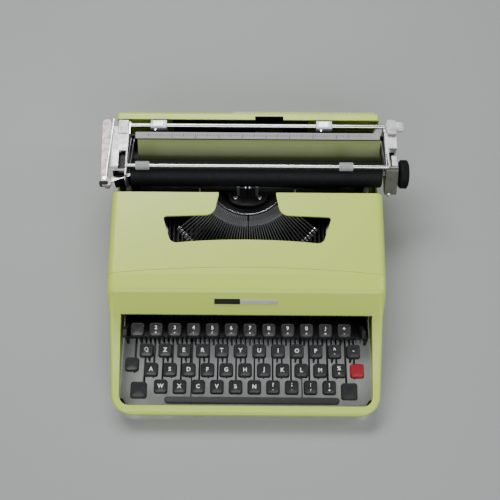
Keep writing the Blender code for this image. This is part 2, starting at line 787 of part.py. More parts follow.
def make_carriage_frame():
    wall = 2.2
    frame = prism("carriage_frame", "X", left_end_outline(0), LEFT_END_OUT, LEFT_END_IN)
    hollow = prism("hollow", "X", left_end_outline(wall), LEFT_END_OUT + wall, LEFT_END_IN - 3)
    cut(frame, hollow)
    right = prism("right", "X", right_end_outline(0), RIGHT_END_IN, RIGHT_END_OUT)
    inside = (RIGHT_END_IN + RIGHT_PLATE, RIGHT_END_OUT - wall)
    cut(right, prism("hollow", "X", right_end_outline(wall), *inside))
    bore = [(PLATEN_RIGHT - 5, SHAFT_RADIUS + 0.5), (KNOB_IN + 5, SHAFT_RADIUS + 0.5)]
    cut(right, turned("bore", "X", (PLATEN_Y, PLATEN_Z), bore, 16))
    slot_x = (inside[0] + 0.5, RIGHT_END_OUT + 1)
    cut(right, block("slot", slot_x, release_slot(), (release_pivot()[1] - 3, END_TOP + 5)))
    tail_x = (RIGHT_END_IN, RIGHT_END_IN + RIGHT_PLATE)
    tail = block("tail", tail_x, (RAIL_Y - 14.2, RAIL_Y + 3), (CARRIAGE_FLOOR, RAIL_HEIGHT))
    join(right, tail)
    wide = (LEFT_END_IN - 1, RIGHT_END_IN + 1)
    pan_y = (TABLE_FOOT_Y + 1.5, RAIL_Y - 2)
    join(frame, block("pan", wide, pan_y, (CARRIAGE_FLOOR, CARRIAGE_FLOOR + 2.5)))
    wall_y = (SCALE_Y + 9.5, SCALE_Y + 11.5)
    wall_z = (CARRIAGE_FLOOR + 1, RAIL_HEIGHT - 1)
    join(frame, block("back_wall", wide, wall_y, wall_z))
    join(frame, right)
    return settle(frame, GREY_CASTING, pivot=(CARRIAGE_OFFSET, PLATEN_Y, CARRIAGE_FLOOR))


def make_margin_rail():
    ends = [(LEFT_END_IN + GAP, RAIL_RADIUS), (RIGHT_END_IN - GAP, RAIL_RADIUS)]
    rail = turned("margin_rail", "X", (RAIL_Y, RAIL_HEIGHT), ends, 16)
    return settle(rail, BRIGHT_STEEL, smooth=True)


def make_margin_stop(name, x):
    """A rider that straddles the margin rail."""
    inner = RAIL_RADIUS + GAP
    outer = inner + 2.6
    high = RAIL_HEIGHT + inner + 1.4
    low = RAIL_HEIGHT - RAIL_RADIUS
    outline = [
        (RAIL_Y - outer, low),
        (RAIL_Y - inner, low),
        (RAIL_Y - inner, RAIL_HEIGHT + inner),
        (RAIL_Y + inner, RAIL_HEIGHT + inner),
        (RAIL_Y + inner, low),
        (RAIL_Y + outer, low),
        (RAIL_Y + outer, high - 1),
        (RAIL_Y + outer - 1, high),
        (RAIL_Y - outer + 1, high),
        (RAIL_Y - outer, high - 1),
    ]
    stop = prism(name, "X", outline, x - STOP_WIDE / 2, x + STOP_WIDE / 2)
    return settle(stop, GREY_CASTING, pivot=(x, RAIL_Y, RAIL_HEIGHT))


def make_platen():
    profile = [
        (LEFT_END_IN + GAP, SHAFT_RADIUS),
        (PLATEN_LEFT, SHAFT_RADIUS),
        (PLATEN_LEFT, PLATEN_RADIUS - 0.6),
        (PLATEN_LEFT + 0.6, PLATEN_RADIUS),
        (PLATEN_RIGHT - 0.6, PLATEN_RADIUS),
        (PLATEN_RIGHT, PLATEN_RADIUS - 0.6),
        (PLATEN_RIGHT, SHAFT_RADIUS),
        (KNOB_IN - GAP, SHAFT_RADIUS),
    ]
    platen = turned("platen", "X", (PLATEN_Y, PLATEN_Z), profile, 32)
    return settle(platen, PLATEN_RUBBER, pivot=(PLATEN_LEFT, PLATEN_Y, PLATEN_Z), smooth=True)


def make_platen_knob():
    out = KNOB_IN + KNOB_WIDE
    profile = [
        (KNOB_IN, KNOB_RADIUS - 2.2),
        (KNOB_IN + 1.2, KNOB_RADIUS - 0.5),
        (KNOB_IN + 3, KNOB_RADIUS),
        (out - 2, KNOB_RADIUS),
        (out - 0.5, KNOB_RADIUS - 1),
        (out, KNOB_RADIUS - 2.5),
    ]
    knob = turned("platen_knob", "X", (PLATEN_Y, PLATEN_Z), profile, 32)
    return settle(knob, PLATEN_RUBBER, pivot=(KNOB_IN, PLATEN_Y, PLATEN_Z), smooth=True)


def bail_place():
    """The bail rod rides above the platen's crown, held off by its rollers."""
    reach = PLATEN_RADIUS + BAIL_ROLLER_RADIUS + GAP + 0.2
    lean = math.radians(7.5)
    return PLATEN_Y - reach * math.sin(lean), PLATEN_Z + reach * math.cos(lean)


def bail_pivot():
    return RAIL_Y - 13.0, RAIL_HEIGHT - 8.0


def make_paper_bail():
    """Rod, two rollers and two arms."""
    y, z = bail_place()
    rod, roller = BAIL_ROD_RADIUS, BAIL_ROLLER_RADIUS
    arms = (
        (LEFT_END_IN + 1, LEFT_END_IN + 2.5),
        (RIGHT_END_IN - 1.9, RIGHT_END_IN - 0.5),
    )
    profile = [(arms[0][0] + 0.2, rod)]
    for x in (-BODY_HALF + 29.8, BODY_HALF - 37.0):
        profile.append((x - BAIL_ROLLER_WIDE / 2, rod))
        profile.append((x - BAIL_ROLLER_WIDE / 2, roller - 0.6))
        profile.append((x - BAIL_ROLLER_WIDE / 2 + 0.6, roller))
        profile.append((x + BAIL_ROLLER_WIDE / 2 - 0.6, roller))
        profile.append((x + BAIL_ROLLER_WIDE / 2, roller - 0.6))
        profile.append((x + BAIL_ROLLER_WIDE / 2, rod))
    profile.append((arms[1][1] - 0.2, rod))
    bail = turned("paper_bail", "X", (y, z), profile, 16)
    pivot = bail_pivot()
    slope = math.degrees(math.atan2(z - pivot[1], y - pivot[0]))
    outline = arc((y, z), 2.2, slope - 90, slope + 90, 4)
    outline += arc(pivot, 2.4, slope + 90, slope + 270, 4)
    for low, high in arms:
        join(bail, prism("arm", "X", outline, low, high))
    return settle(bail, BRIGHT_STEEL, pivot=(CARRIAGE_OFFSET, *pivot), smooth=True)


def make_paper_table():
    """A curved sheet behind the platen."""
    top = (SCALE_Y, RAIL_HEIGHT - 0.8)
    foot = (TABLE_FOOT_Y, PLATEN_Z - 3)
    sheet = 1.5
    sag = 1.6
    back, face = [], []
    for i in range(7):
        share = i / 6
        y = foot[0] + (top[0] - foot[0]) * share
        z = foot[1] + (top[1] - foot[1]) * share - sag * 4 * share * (1 - share)
        face.append((y, z))
        back.append((y + sheet * 0.73, z - sheet * 0.68))
    outline = face + back[::-1]
    table = prism("paper_table", "X", outline, PLATEN_LEFT + 3.5, PLATEN_RIGHT - 1.5)
    return settle(table, LIME_PAINT, smooth=True)


def make_line_scale():
    """A graduated strip along the top of the paper table."""
    low, high = RAIL_HEIGHT + 0.3, RAIL_HEIGHT + 3.3
    outline = [
        (SCALE_Y, low),
        (SCALE_Y + 6.2, high - 0.6),
        (SCALE_Y + 6.4, high + 0.8),
        (SCALE_Y - 0.2, low + 1.4),
    ]
    scale = prism("line_scale", "X", outline, PLATEN_LEFT + 1.7, PLATEN_RIGHT - 2.8)
    return settle(scale, SCALE_METAL)


def lever_pivot():
    return LEFT_END_OUT - 2.3, PLATEN_Y - 18.5


def make_return_lever():
    """A flat paddle folded back along the left end, on an upright pin."""
    x, y = lever_pivot()
    inside = LEFT_END_OUT - 0.5
    rear = RAIL_Y + 8.2
    outline = fillet([
        (x + 5.5, y - 5, 2),
        (x + 5.5, y + 1, 2),
        (inside - 1.4, y + 6.2, 0),
        (inside, rear - 10, 3),
        (inside - 2.5, rear, 3),
        (TOTAL_LEFT, rear - 1, 5),
        (TOTAL_LEFT + 3.5, y + 9, 4),
        (x - 4.6, y - 5, 2),
    ])
    top = END_TOP - 0.6
    lever = prism("return_lever", "Z", outline, top - 4.2, top)
    pin = turned("pin", "Z", (x, y), [(top - 12, 3.4), (top - 2, 3.4)], 14)
    join(lever, pin)
    return settle(lever, BRIGHT_STEEL, pivot=(x, y, top))


def make_carriage_release():
    """A cross-shaped thumb piece behind the right end."""
    x = (RIGHT_END_IN + RIGHT_END_OUT) / 2 + 0.2
    front, rear = RAIL_Y - 12.5, RAIL_Y + 5
    low, high = END_TOP + 1.8, END_TOP + 5.3
    thumb_outline = rounded_box((x, (front + rear) / 2), (9.6, rear - front), 2)
    thumb = prism("carriage_release_lever", "Z", thumb_outline, low, high)
    ears = rounded_box((x + 3.9, front + 9.5), (18.4, 11.5), 2.5)
    join(thumb, prism("ears", "Z", ears, low + 0.6, high - 0.8))
    return settle(thumb, BRIGHT_STEEL, pivot=(x, rear, low))


def release_slot():
    return PLATEN_Y + 0.4, PLATEN_Y + 23.5


def release_pivot():
    return PLATEN_Y + 8.0, PLATEN_Z + 7.0


def make_paper_release():
    """A flat-topped lever in the slot of the right end cover."""
    y, z = release_pivot()
    outline = fillet([
        (y - 6.6, z - 0.5, 1),
        (y + 6.8, z - 0.5, 1),
        (y + 6.8, END_TOP + 1.2, 1),
        (y - 6.6, END_TOP + 1.2, 1),
    ], step=45.0)
    low, high = RIGHT_END_IN + RIGHT_PLATE + 0.9, RIGHT_END_OUT - 0.2
    lever = prism("paper_release_lever", "X", outline, low, high)
    return settle(lever, BRIGHT_STEEL, pivot=(low, y, z))


def main():
    for old in list(bpy.data.objects):
        bpy.data.objects.remove(old)
    make_lower_housing()
    make_top_cover()
    make_chassis()
    make_letter_keys()
    make_number_key_bank()
    make_function_keys()
    make_shift_keys()
    make_space_bar()
    make_well_lever("tab_set_lever", -WELL_HALF + 6.5)
    make_well_lever("ribbon_selector_lever", WELL_HALF - 10.4)
    make_type_basket()
    make_typebar()
    make_spool("ribbon_spool_left", -1)
    make_spool("ribbon_spool_right", 1)
    make_carriage_frame()
    make_margin_rail()
    make_margin_stop("margin_stop_left", -BODY_HALF + 44.0)
    make_margin_stop("margin_stop_right", BODY_HALF - 58.4)
    make_platen()
    make_platen_knob()
    make_paper_bail()
    make_paper_table()
    make_line_scale()
    make_return_lever()
    make_carriage_release()
    make_paper_release()


main()
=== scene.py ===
import math

import bmesh
import bpy
from mathutils import Matrix, Vector


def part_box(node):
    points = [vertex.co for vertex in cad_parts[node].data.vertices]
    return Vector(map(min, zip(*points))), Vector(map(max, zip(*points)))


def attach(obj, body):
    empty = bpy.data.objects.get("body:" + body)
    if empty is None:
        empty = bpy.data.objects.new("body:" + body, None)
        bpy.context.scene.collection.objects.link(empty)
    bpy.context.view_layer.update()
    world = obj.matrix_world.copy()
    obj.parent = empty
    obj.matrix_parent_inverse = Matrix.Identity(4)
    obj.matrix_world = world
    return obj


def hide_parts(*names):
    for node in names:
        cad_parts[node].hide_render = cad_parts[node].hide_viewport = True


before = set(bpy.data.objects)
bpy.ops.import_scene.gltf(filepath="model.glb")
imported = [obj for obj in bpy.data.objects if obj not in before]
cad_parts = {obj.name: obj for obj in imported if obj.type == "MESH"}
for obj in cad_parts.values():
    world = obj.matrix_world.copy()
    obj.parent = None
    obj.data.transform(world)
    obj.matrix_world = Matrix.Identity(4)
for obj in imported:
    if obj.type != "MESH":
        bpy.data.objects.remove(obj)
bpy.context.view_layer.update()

bl_info = {
    "name": "Portable typewriter finish",
    "version": (1, 0, 0),
    "blender": (4, 5, 0),
    "location": "View3D > Sidebar > Typewriter",
    "description": "Dresses a portable typewriter with keys, shells, carriage parts and finishes",
    "category": "Add Mesh",
}

MM = 0.001
HOUSING_LOW, HOUSING_HIGH = (Vector(corner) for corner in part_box("lower_housing"))
MIDDLE_X = (HOUSING_LOW.x + HOUSING_HIGH.x) / 2 / MM


def put(x, y, z):
    """Millimetres about the middle of the housing, turned into metres about the origin."""
    return Vector(((x + MIDDLE_X) * MM, y * MM, z * MM))


def limits(node):
    """Lowest and highest corner of a CAD node, in millimetres about the housing's middle."""
    low, high = (Vector(corner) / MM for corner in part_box(node))
    low.x -= MIDDLE_X
    high.x -= MIDDLE_X
    return low, high


# Places read from the frame
BODY_FRONT, BODY_REAR = HOUSING_LOW.y / MM, HOUSING_HIGH.y / MM
REAR_TOP = HOUSING_HIGH.z / MM
SIDE_DRAFT = 0.124
DRAFT_LEVEL = 58.0
BAR_SHOULDER = 3.0
WIDEST_LEVEL = REAR_TOP - BAR_SHOULDER - DRAFT_LEVEL
BODY_HALF = (HOUSING_HIGH.x - HOUSING_LOW.x) / 2 / MM - SIDE_DRAFT * WIDEST_LEVEL
COVER_REAR = limits("top_cover")[1].y
PLATEN_LOW, PLATEN_HIGH = limits("platen")
PLATEN_Y = (PLATEN_LOW.y + PLATEN_HIGH.y) / 2
PLATEN_Z = (PLATEN_LOW.z + PLATEN_HIGH.z) / 2
PLATEN_RADIUS = (PLATEN_HIGH.z - PLATEN_LOW.z) / 2
FRAME_LOW, FRAME_HIGH = limits("carriage_frame")
RAIL_LOW, RAIL_HIGH = limits("margin_rail")
RAIL_Y = (RAIL_LOW.y + RAIL_HIGH.y) / 2
RAIL_Z = (RAIL_LOW.z + RAIL_HIGH.z) / 2
SCALE_LOW, SCALE_HIGH = limits("line_scale")
BASKET_LOW, BASKET_HIGH = limits("type_basket")


# Sizes and colours a user may change


def length(name, text, value):
    return bpy.props.FloatProperty(
        name=name, description=text, default=value * MM, min=0.0, subtype="DISTANCE", unit="LENGTH"
    )


def colour(name, text, value):
    return bpy.props.FloatVectorProperty(
        name=name, description=text, default=value, size=3, min=0.0, max=1.0, subtype="COLOR"
    )


class TYPEWRITER_PG_sizes(bpy.types.PropertyGroup):
    """Sizes of the visible pieces."""

    wall: length("Wall", "Thickness of the housing's sheet", 2.0)
    side_lip: length("Side lip", "Width of the rim beside the keyboard", 11.9)
    front_lip: length("Front lip", "Width of the rim in front of the space bar", 8.2)
    lip_top: length("Lip height", "Height of the front rim", 25.0)
    shoulder: length("Shoulder", "Radius along the hood's long edges", 8.0)
    crease: length("Crease", "Radius where the apron meets the hood", 9.0)
    edge: length("Edge", "Rounding of the sheet's cut edges", 0.7)
    dish: length("Key dish", "Depth of the hollow in a key's top", 0.7)
    legend: length("Legend", "Size of the letters on the keys", 5.7)
    small_legend: length("Small legend", "Size of the lower signs on the keys", 3.6)
    tick_pitch: length("Scale pitch", "Distance between the ticks of the line scale", 2.54)
    bail_rod: length("Bail rod", "Radius of the paper bail's rod", 1.95)


class TYPEWRITER_PG_colours(bpy.types.PropertyGroup):
    """Colours of the finishes."""

    enamel: colour("Housing enamel", "Pale yellow-green paint", (0.52, 0.67, 0.075))
    enamel_worn: colour("Worn enamel", "Paint where it is rubbed thin", (0.56, 0.70, 0.11))
    table_enamel: colour("Table enamel", "Deeper green of the paper table", (0.17, 0.225, 0.015))
    key: colour("Key plastic", "Moulded key caps", (0.010, 0.010, 0.012))
    red_key: colour("Red key", "Tabulator key", (0.27, 0.002, 0.010))
    legend: colour("Legend", "Letters on the keys", (0.86, 0.86, 0.83))
    black: colour("Black enamel", "Inner frame", (0.005, 0.005, 0.006))
    bright: colour("Bright steel", "Plated rods and levers", (0.78, 0.78, 0.80))
    casting: colour("Casting", "Carriage ends", (0.40, 0.395, 0.42))
    rubber: colour("Rubber", "Platen and feet", (0.004, 0.004, 0.005))


def size(name):
    return getattr(bpy.context.scene.typewriter_sizes, name) / MM


def tint(name):
    return tuple(getattr(bpy.context.scene.typewriter_colours, name))


# Shader building


class Term:
    """A shader value that takes part in plain arithmetic."""

    def __init__(self, finish, socket):
        self.finish = finish
        self.socket = socket

    def _maths(self, operation, first, second):
        return self.finish.node("ShaderNodeMath", {"operation": operation}, {0: first, 1: second})

    def __add__(self, other):
        return self._maths("ADD", self, other)

    def __radd__(self, other):
        return self._maths("ADD", other, self)

    def __sub__(self, other):
        return self._maths("SUBTRACT", self, other)

    def __rsub__(self, other):
        return self._maths("SUBTRACT", other, self)

    def __mul__(self, other):
        return self._maths("MULTIPLY", self, other)

    def __rmul__(self, other):
        return self._maths("MULTIPLY", other, self)

    def __pow__(self, other):
        return self._maths("POWER", self, other)


class Finish:
    """A material with one Principled shader and the textures that feed it."""

    def __init__(self, name):
        self.material = bpy.data.materials.new(name)
        self.material.use_nodes = True
        self.tree = self.material.node_tree
        self.shader = self.tree.nodes["Principled BSDF"]
        self.place = self.node("ShaderNodeTexCoord", output="Object")

    def node(self, kind, settings=None, inputs=None, output=0):
        """Add a node: its settings first, then the values or links of its sockets."""
        made = self.tree.nodes.new(kind)
        for key, value in (settings or {}).items():
            if key == "stops":
                self._set_stops(made.color_ramp, value)
            else:
                setattr(made, key, value)
        for key, value in (inputs or {}).items():
            self.feed(made.inputs[key], value)
        return Term(self, made.outputs[output])

    def _set_stops(self, ramp, stops):
        while len(ramp.elements) < len(stops):
            ramp.elements.new(0.5)
        for element, (position, value) in zip(ramp.elements, stops):
            element.position = position
            element.color = (value, value, value, 1.0)

    def feed(self, socket, value):
        if isinstance(value, Term):
            self.tree.links.new(value.socket, socket)
        elif hasattr(value, "__len__") and len(value) == 3 and socket.type == "RGBA":
            socket.default_value = (*value, 1.0)
        else:
            socket.default_value = value

    def noise(self, scale, detail=3.0, stretch=(1.0, 1.0, 1.0)):
        """Cloudy noise from 0 to 1. The scale is in features per metre."""
        mapped = self.node("ShaderNodeMapping", None, {"Vector": self.place, "Scale": stretch})
        settings = {"Vector": mapped, "Scale": scale, "Detail": detail}
        return self.node("ShaderNodeTexNoise", {"noise_dimensions": "3D"}, settings)

    def ramp(self, value, stops):
        return self.node("ShaderNodeValToRGB", {"stops": stops}, {0: value})

    def mix(self, mask, low, high):
        """Blend two colours by a mask."""
        settings = {"data_type": "RGBA", "clamp_factor": True}
        return self.node("ShaderNodeMix", settings, {0: mask, 6: low, 7: high}, output=2)

    def edges(self, stops):
        """Light on worn outer edges and dark in corners."""
        point = self.node("ShaderNodeNewGeometry", output="Pointiness")
        return self.ramp(point, stops)

    def bump(self, height, strength, distance):
        values = {"Height": height, "Strength": strength, "Distance": distance * MM}
        return self.node("ShaderNodeBump", None, values)

    def done(self, **values):
        """Set the shader's sockets, with underscores for spaces, and return the material."""
        for key, value in values.items():
            self.feed(self.shader.inputs[key.replace("_", " ")], value)
        return self.material


FINISHES = {}


def finish(name):
    """The material of that name, made once."""
    if name not in FINISHES:
        FINISHES[name] = RECIPES[name](name)
    return FINISHES[name]


def enamel(name, base, worn, shade=None):
    """Sprayed enamel: faint orange peel, slow drift of tone, dust specks, darker hollow corners and, with a
    shade range, painted shade towards the foot.
    """
    paint = Finish(name)
    drift = paint.noise(9.0, 4.0)
    speck = paint.noise(420.0, 5.0)
    tone = paint.mix(drift, base, worn)
    dust = paint.ramp(speck, ((0.60, 0.0), (0.74, 1.0))) * 0.08
    tone = paint.mix(dust, tone, tuple(0.45 * channel for channel in base))
    # Darker in the hollow corners, from the surface's pointiness.
    corner = paint.edges(((0.40, 1.0), (0.49, 0.0)))
    tone = paint.mix(corner * 0.5, tone, tuple(0.4 * channel for channel in base))
    # Painted shade: below the top of the shade range the colour darkens, down to a tenth of itself at the
    # range's foot.
    if shade:
        height = paint.node("ShaderNodeSeparateXYZ", None, {0: paint.place}, output=2)
        low, high = (level * MM for level in shade)
        values = {"Value": height, "From Min": low, "From Max": high}
        depth = paint.node("ShaderNodeMapRange", None, values)
        tone = paint.mix(depth, tuple(0.10 * channel for channel in base), tone)
    peel = paint.noise(650.0, 2.0) + speck * 0.4
    return paint.done(
        Base_Color=tone,
        Roughness=0.34 + paint.noise(60.0, 3.0) * 0.10,
        Normal=paint.bump(peel, 0.18, 0.04),
        Coat_Weight=0.12,
        Coat_Roughness=0.12,
    )


def housing_enamel(name):
    return enamel(name, tint("enamel"), tint("enamel_worn"))


def table_enamel(name):
    """Green of the paper table, with painted shade darkening it towards its foot."""
    base = tint("table_enamel")
    return enamel(name, base, tuple(1.2 * channel for channel in base), (76.5, 91.0))


def black_enamel(name):
    """Stoved black paint with grey dust lying on it."""
    paint = Finish(name)
    dust = paint.ramp(paint.noise(230.0, 6.0), ((0.55, 0.0), (0.76, 1.0)))
    tone = paint.mix(dust * 0.25, tint("black"), (0.04, 0.039, 0.036))
    return paint.done(
        Base_Color=tone,
        Roughness=0.46 + dust * 0.3,
        Specular_IOR_Level=0.28,
        Normal=paint.bump(paint.noise(900.0, 3.0), 0.3, 0.04),
    )


def dark_steel(name):
    """Blackened steel, rubbed brighter on its edges."""
    steel = Finish(name)
    rub = steel.edges(((0.505, 0.0), (0.56, 1.0)))
    oil = steel.noise(120.0, 4.0)
    tone = steel.mix(rub * 0.7, (0.018, 0.018, 0.020), (0.26, 0.26, 0.27))
    return steel.done(
        Base_Color=tone,
        Metallic=0.8,
        Roughness=0.30 + oil * 0.2,
        Normal=steel.bump(steel.noise(1500.0, 2.0), 0.2, 0.02),
    )


def key_plastic(name, base=None):
    """Moulded plastic, satin on top where fingers polish it."""
    plastic = Finish(name)
    shade = base or tint("key")
    grime = plastic.ramp(plastic.noise(180.0, 5.0), ((0.50, 0.0), (0.78, 1.0)))
    tone = plastic.mix(grime * 0.2, shade, tuple(0.55 * channel + 0.015 for channel in shade))
    return plastic.done(
        Base_Color=tone,
        Roughness=0.34 + plastic.noise(260.0, 4.0) * 0.18,
        Specular_IOR_Level=0.42,
        Normal=plastic.bump(plastic.noise(2600.0, 2.0), 0.22, 0.03),
    )


def red_plastic(name):
    return key_plastic(name, tint("red_key"))


def legend_paint(name):
    paint = Finish(name)
    worn = paint.ramp(paint.noise(1400.0, 3.0), ((0.35, 0.0), (0.6, 1.0)))
    base = tint("legend")
    tone = paint.mix(worn, tuple(0.72 * channel for channel in base), base)
    return paint.done(Base_Color=tone, Roughness=0.45, Normal=paint.bump(worn, 0.1, 0.01))


def bright_steel(name):
    """Plated steel: drawn lengthwise, with a little tarnish."""
    steel = Finish(name)
    drawn = steel.noise(260.0, 4.0, (0.08, 1.0, 1.0))
    tarnish = steel.ramp(steel.noise(75.0, 5.0), ((0.50, 0.0), (0.75, 1.0)))
    base = tint("bright")
    tone = steel.mix(tarnish * 0.5, base, tuple(0.62 * channel for channel in base))
    return steel.done(
        Base_Color=tone,
        Metallic=1.0,
        Roughness=0.16 + drawn * 0.12 + tarnish * 0.12,
        Normal=steel.bump(drawn, 0.12, 0.02),
    )


def cast_metal(name, base=None):
    """Satin die casting with fine grain and handling marks."""
    metal = Finish(name)
    marks = metal.ramp(metal.noise(140.0, 6.0), ((0.44, 0.0), (0.66, 1.0)))
    worn = metal.edges(((0.52, 0.0), (0.58, 1.0)))
    shade = base or tint("casting")
    tone = metal.mix(marks * 0.5, shade, tuple(0.62 * channel for channel in shade))
    tone = metal.mix(worn * 0.6, tone, (0.72, 0.72, 0.74))
    return metal.done(
        Base_Color=tone,
        Metallic=0.7,
        Roughness=0.38 + marks * 0.15,
        Normal=metal.bump(metal.noise(1600.0, 3.0), 0.3, 0.03),
    )


def paddle_paint(name):
    """Warm grey of the return lever's paddle."""
    return cast_metal(name, (0.345, 0.275, 0.285))


def stop_metal(name):
    """Bluish zinc plating of the margin stops."""
    return cast_metal(name, (0.36, 0.38, 0.47))


def badge_strip(name):
    """Pale grey-green brushed strip of the name plate."""
    return cast_metal(name, (0.30, 0.33, 0.24))


def dull_cover(name):
    """Grey-green paint of the right end's sloping front."""
    paint = Finish(name)
    tone = paint.mix(paint.noise(150.0, 5.0), (0.055, 0.058, 0.042), (0.12, 0.12, 0.095))
    return paint.done(
        Base_Color=tone,
        Metallic=0.4,
        Roughness=0.42,
        Normal=paint.bump(paint.noise(1200.0, 2.0), 0.2, 0.03),
    )


def scale_metal(name):
    """Brushed strip under the scale's ticks."""
    metal = Finish(name)
    brushed = metal.noise(900.0, 4.0, (0.03, 1.0, 1.0))
    tone = metal.mix(brushed, (0.34, 0.335, 0.35), (0.42, 0.415, 0.43))
    return metal.done(
        Base_Color=tone,
        Metallic=0.3,
        Roughness=0.42 + brushed * 0.12,
        Normal=metal.bump(brushed, 0.15, 0.02),
    )


def ink(name):
    paint = Finish(name)
    tone = paint.mix(paint.noise(900.0, 2.0), (0.012, 0.012, 0.014), (0.03, 0.03, 0.032))
    return paint.done(Base_Color=tone, Roughness=0.5, Normal=paint.bump(tone, 0.1, 0.01))


def rubber(name):
    """Ground rubber with paper dust and the faint rings of its grinding."""
    gum = Finish(name)
    rings = gum.noise(900.0, 2.0, (1.0, 0.05, 0.05))
    dust = gum.ramp(gum.noise(160.0, 6.0), ((0.55, 0.0), (0.78, 1.0)))
    tone = gum.mix(dust * 0.35, tint("rubber"), (0.02, 0.02, 0.021))
    return gum.done(
        Base_Color=tone,
        Roughness=0.50 + rings * 0.16,
        Specular_IOR_Level=0.22,
        Normal=gum.bump(rings, 0.3, 0.03),
    )


def pale_rubber(name):
    """Grey-white rollers of the paper bail."""
    gum = Finish(name)
    tone = gum.mix(gum.noise(300.0, 5.0), (0.30, 0.30, 0.31), (0.46, 0.46, 0.48))
    return gum.done(
        Base_Color=tone,
        Roughness=0.5,
        Normal=gum.bump(gum.noise(1800.0, 2.0), 0.4, 0.04),
    )


def cream_pin(name):
    """Nylon guide pin, yellowed with age."""
    nylon = Finish(name)
    tone = nylon.mix(nylon.noise(500.0, 3.0), (0.86, 0.85, 0.80), (0.94, 0.93, 0.90))
    return nylon.done(Base_Color=tone, Roughness=0.4, Normal=nylon.bump(tone, 0.1, 0.02))


def ribbon_cloth(name):
    """Inked cotton ribbon with a fine plain weave."""
    cloth = Finish(name)
    waves = {"wave_type": "BANDS", "bands_direction": "Z"}
    weft = cloth.node("ShaderNodeTexWave", waves, {"Vector": cloth.place, "Scale": 900.0})
    warp = cloth.noise(2400.0, 1.0)
    tone = cloth.mix(weft * 0.5 + warp * 0.5, (0.012, 0.011, 0.016), (0.035, 0.03, 0.04))
    return cloth.done(Base_Color=tone, Roughness=0.8, Normal=cloth.bump(weft + warp, 0.4, 0.05))


def floor_paint(name):
    """Pale matt floor with a faint cloud in its tone."""
    paint = Finish(name)
    tone = paint.mix(paint.noise(1.5, 3.0), (0.30, 0.312, 0.315), (0.34, 0.352, 0.356))
    return paint.done(Base_Color=tone, Roughness=0.55, Normal=paint.bump(paint.noise(300.0), 0.02, 0.02))


RECIPES = {
    "housing_enamel": housing_enamel,
    "table_enamel": table_enamel,
    "black_enamel": black_enamel,
    "dark_steel": dark_steel,
    "key_plastic": key_plastic,
    "red_plastic": red_plastic,
    "legend_paint": legend_paint,
    "bright_steel": bright_steel,
    "cast_metal": cast_metal,
    "paddle_paint": paddle_paint,
    "stop_metal": stop_metal,
    "badge_strip": badge_strip,
    "dull_cover": dull_cover,
    "scale_metal": scale_metal,
    "ink": ink,
    "rubber": rubber,
    "pale_rubber": pale_rubber,
    "cream_pin": cream_pin,
    "ribbon_cloth": ribbon_cloth,
    "floor_paint": floor_paint,
}


# Mesh building, in millimetres about the housing's middle


def new_piece(name, mesh, look=None):
    piece = bpy.data.objects.new(name, mesh)
    bpy.context.scene.collection.objects.link(piece)
    if look:
        mesh.materials.append(finish(look))
    return piece


def from_rings(name, rings, look=None, closed=True):
    """Skin a row of equal rings of (x, y, z) points and close both ends."""
    bm = bmesh.new()
    rows = [[bm.verts.new(put(*point)) for point in ring] for ring in rings]
    for near, far in zip(rows, rows[1:]):
        for i in range(len(near)):
            j = (i + 1) % len(near)
            bm.faces.new((near[i], near[j], far[j], far[i]))
    if closed:
        bm.faces.new(rows[0])
        bm.faces.new(rows[-1])
    bmesh.ops.recalc_face_normals(bm, faces=bm.faces)
    mesh = bpy.data.meshes.new(name)
    bm.to_mesh(mesh)
    bm.free()
    return new_piece(name, mesh, look)


def prism(name, axis, outline, low, high, look=None):
    """Extrude an outline: X takes (y, z), Y takes (x, z), Z takes (x, y)."""
    place = {
        "X": lambda a, b, t: (t, a, b),
        "Y": lambda a, b, t: (a, t, b),
        "Z": lambda a, b, t: (a, b, t),
    }[axis]
    rings = [[place(a, b, t) for a, b in outline] for t in (low, high)]
    return from_rings(name, rings, look)


def block(name, x, y, z, look=None):
    outline = [(x[0], y[0]), (x[1], y[0]), (x[1], y[1]), (x[0], y[1])]
    return prism(name, "Z", outline, z[0], z[1], look)


def arc(centre, radius, start, end, steps):
    """Points along an arc, angles in degrees."""
    points = []
    for i in range(steps + 1):
        angle = math.radians(start + (end - start) * i / steps)
        points.append((centre[0] + radius * math.cos(angle), centre[1] + radius * math.sin(angle)))
    return points


def fillet(corners, closed=True, step=12.0):
    """Round the corners of an outline. Each corner is (a, b, radius)."""
    points = []
    count = len(corners)
    for i, (a, b, radius) in enumerate(corners):
        if radius <= 0 or (not closed and i in (0, count - 1)):
            points.append((a, b))
            continue
        here = Vector((a, b))
        before = (Vector(corners[i - 1][:2]) - here).normalized()
        after = (Vector(corners[(i + 1) % count][:2]) - here).normalized()
        half = before.angle(after) / 2
        centre = here + (before + after).normalized() * (radius / math.sin(half))
        arm = here + before * (radius / math.tan(half)) - centre
        turn = math.pi - 2 * half
        side = 1 if before.x * after.y - before.y * after.x < 0 else -1
        steps = max(1, math.ceil(math.degrees(turn) / step))
        for k in range(steps + 1):
            spin = side * turn * k / steps
            points.append((
                centre.x + arm.x * math.cos(spin) - arm.y * math.sin(spin),
                centre.y + arm.x * math.sin(spin) + arm.y * math.cos(spin),
            ))
    return points


def rounded_box(centre, wide, radius, step=15.0):
    """Outline of a rectangle with round corners."""
    a, b = wide[0] / 2, wide[1] / 2
    corners = [(-a, -b), (a, -b), (a, b), (-a, b)]
    return fillet([(centre[0] + p, centre[1] + q, radius) for p, q in corners], step=step)


def turned(name, axis, centre, profile, steps=48, look=None):
    """Turn a profile of (place along the axis, radius) about an X, Y or Z axis."""
    rings = []
    for along, radius in profile:
        ring = []
        for i in range(steps):
            angle = 2 * math.pi * i / steps
            a, b = radius * math.cos(angle), radius * math.sin(angle)
            ring.append({
                "X": (along, centre[0] + a, centre[1] + b),
                "Y": (centre[0] + a, along, centre[1] + b),
                "Z": (centre[0] + a, centre[1] + b, along),
            }[axis])
        rings.append(ring)
    return from_rings(name, rings, look)


def drop(piece):
    mesh = piece.data
    bpy.data.objects.remove(piece)
    if mesh.users == 0:
        bpy.data.meshes.remove(mesh)


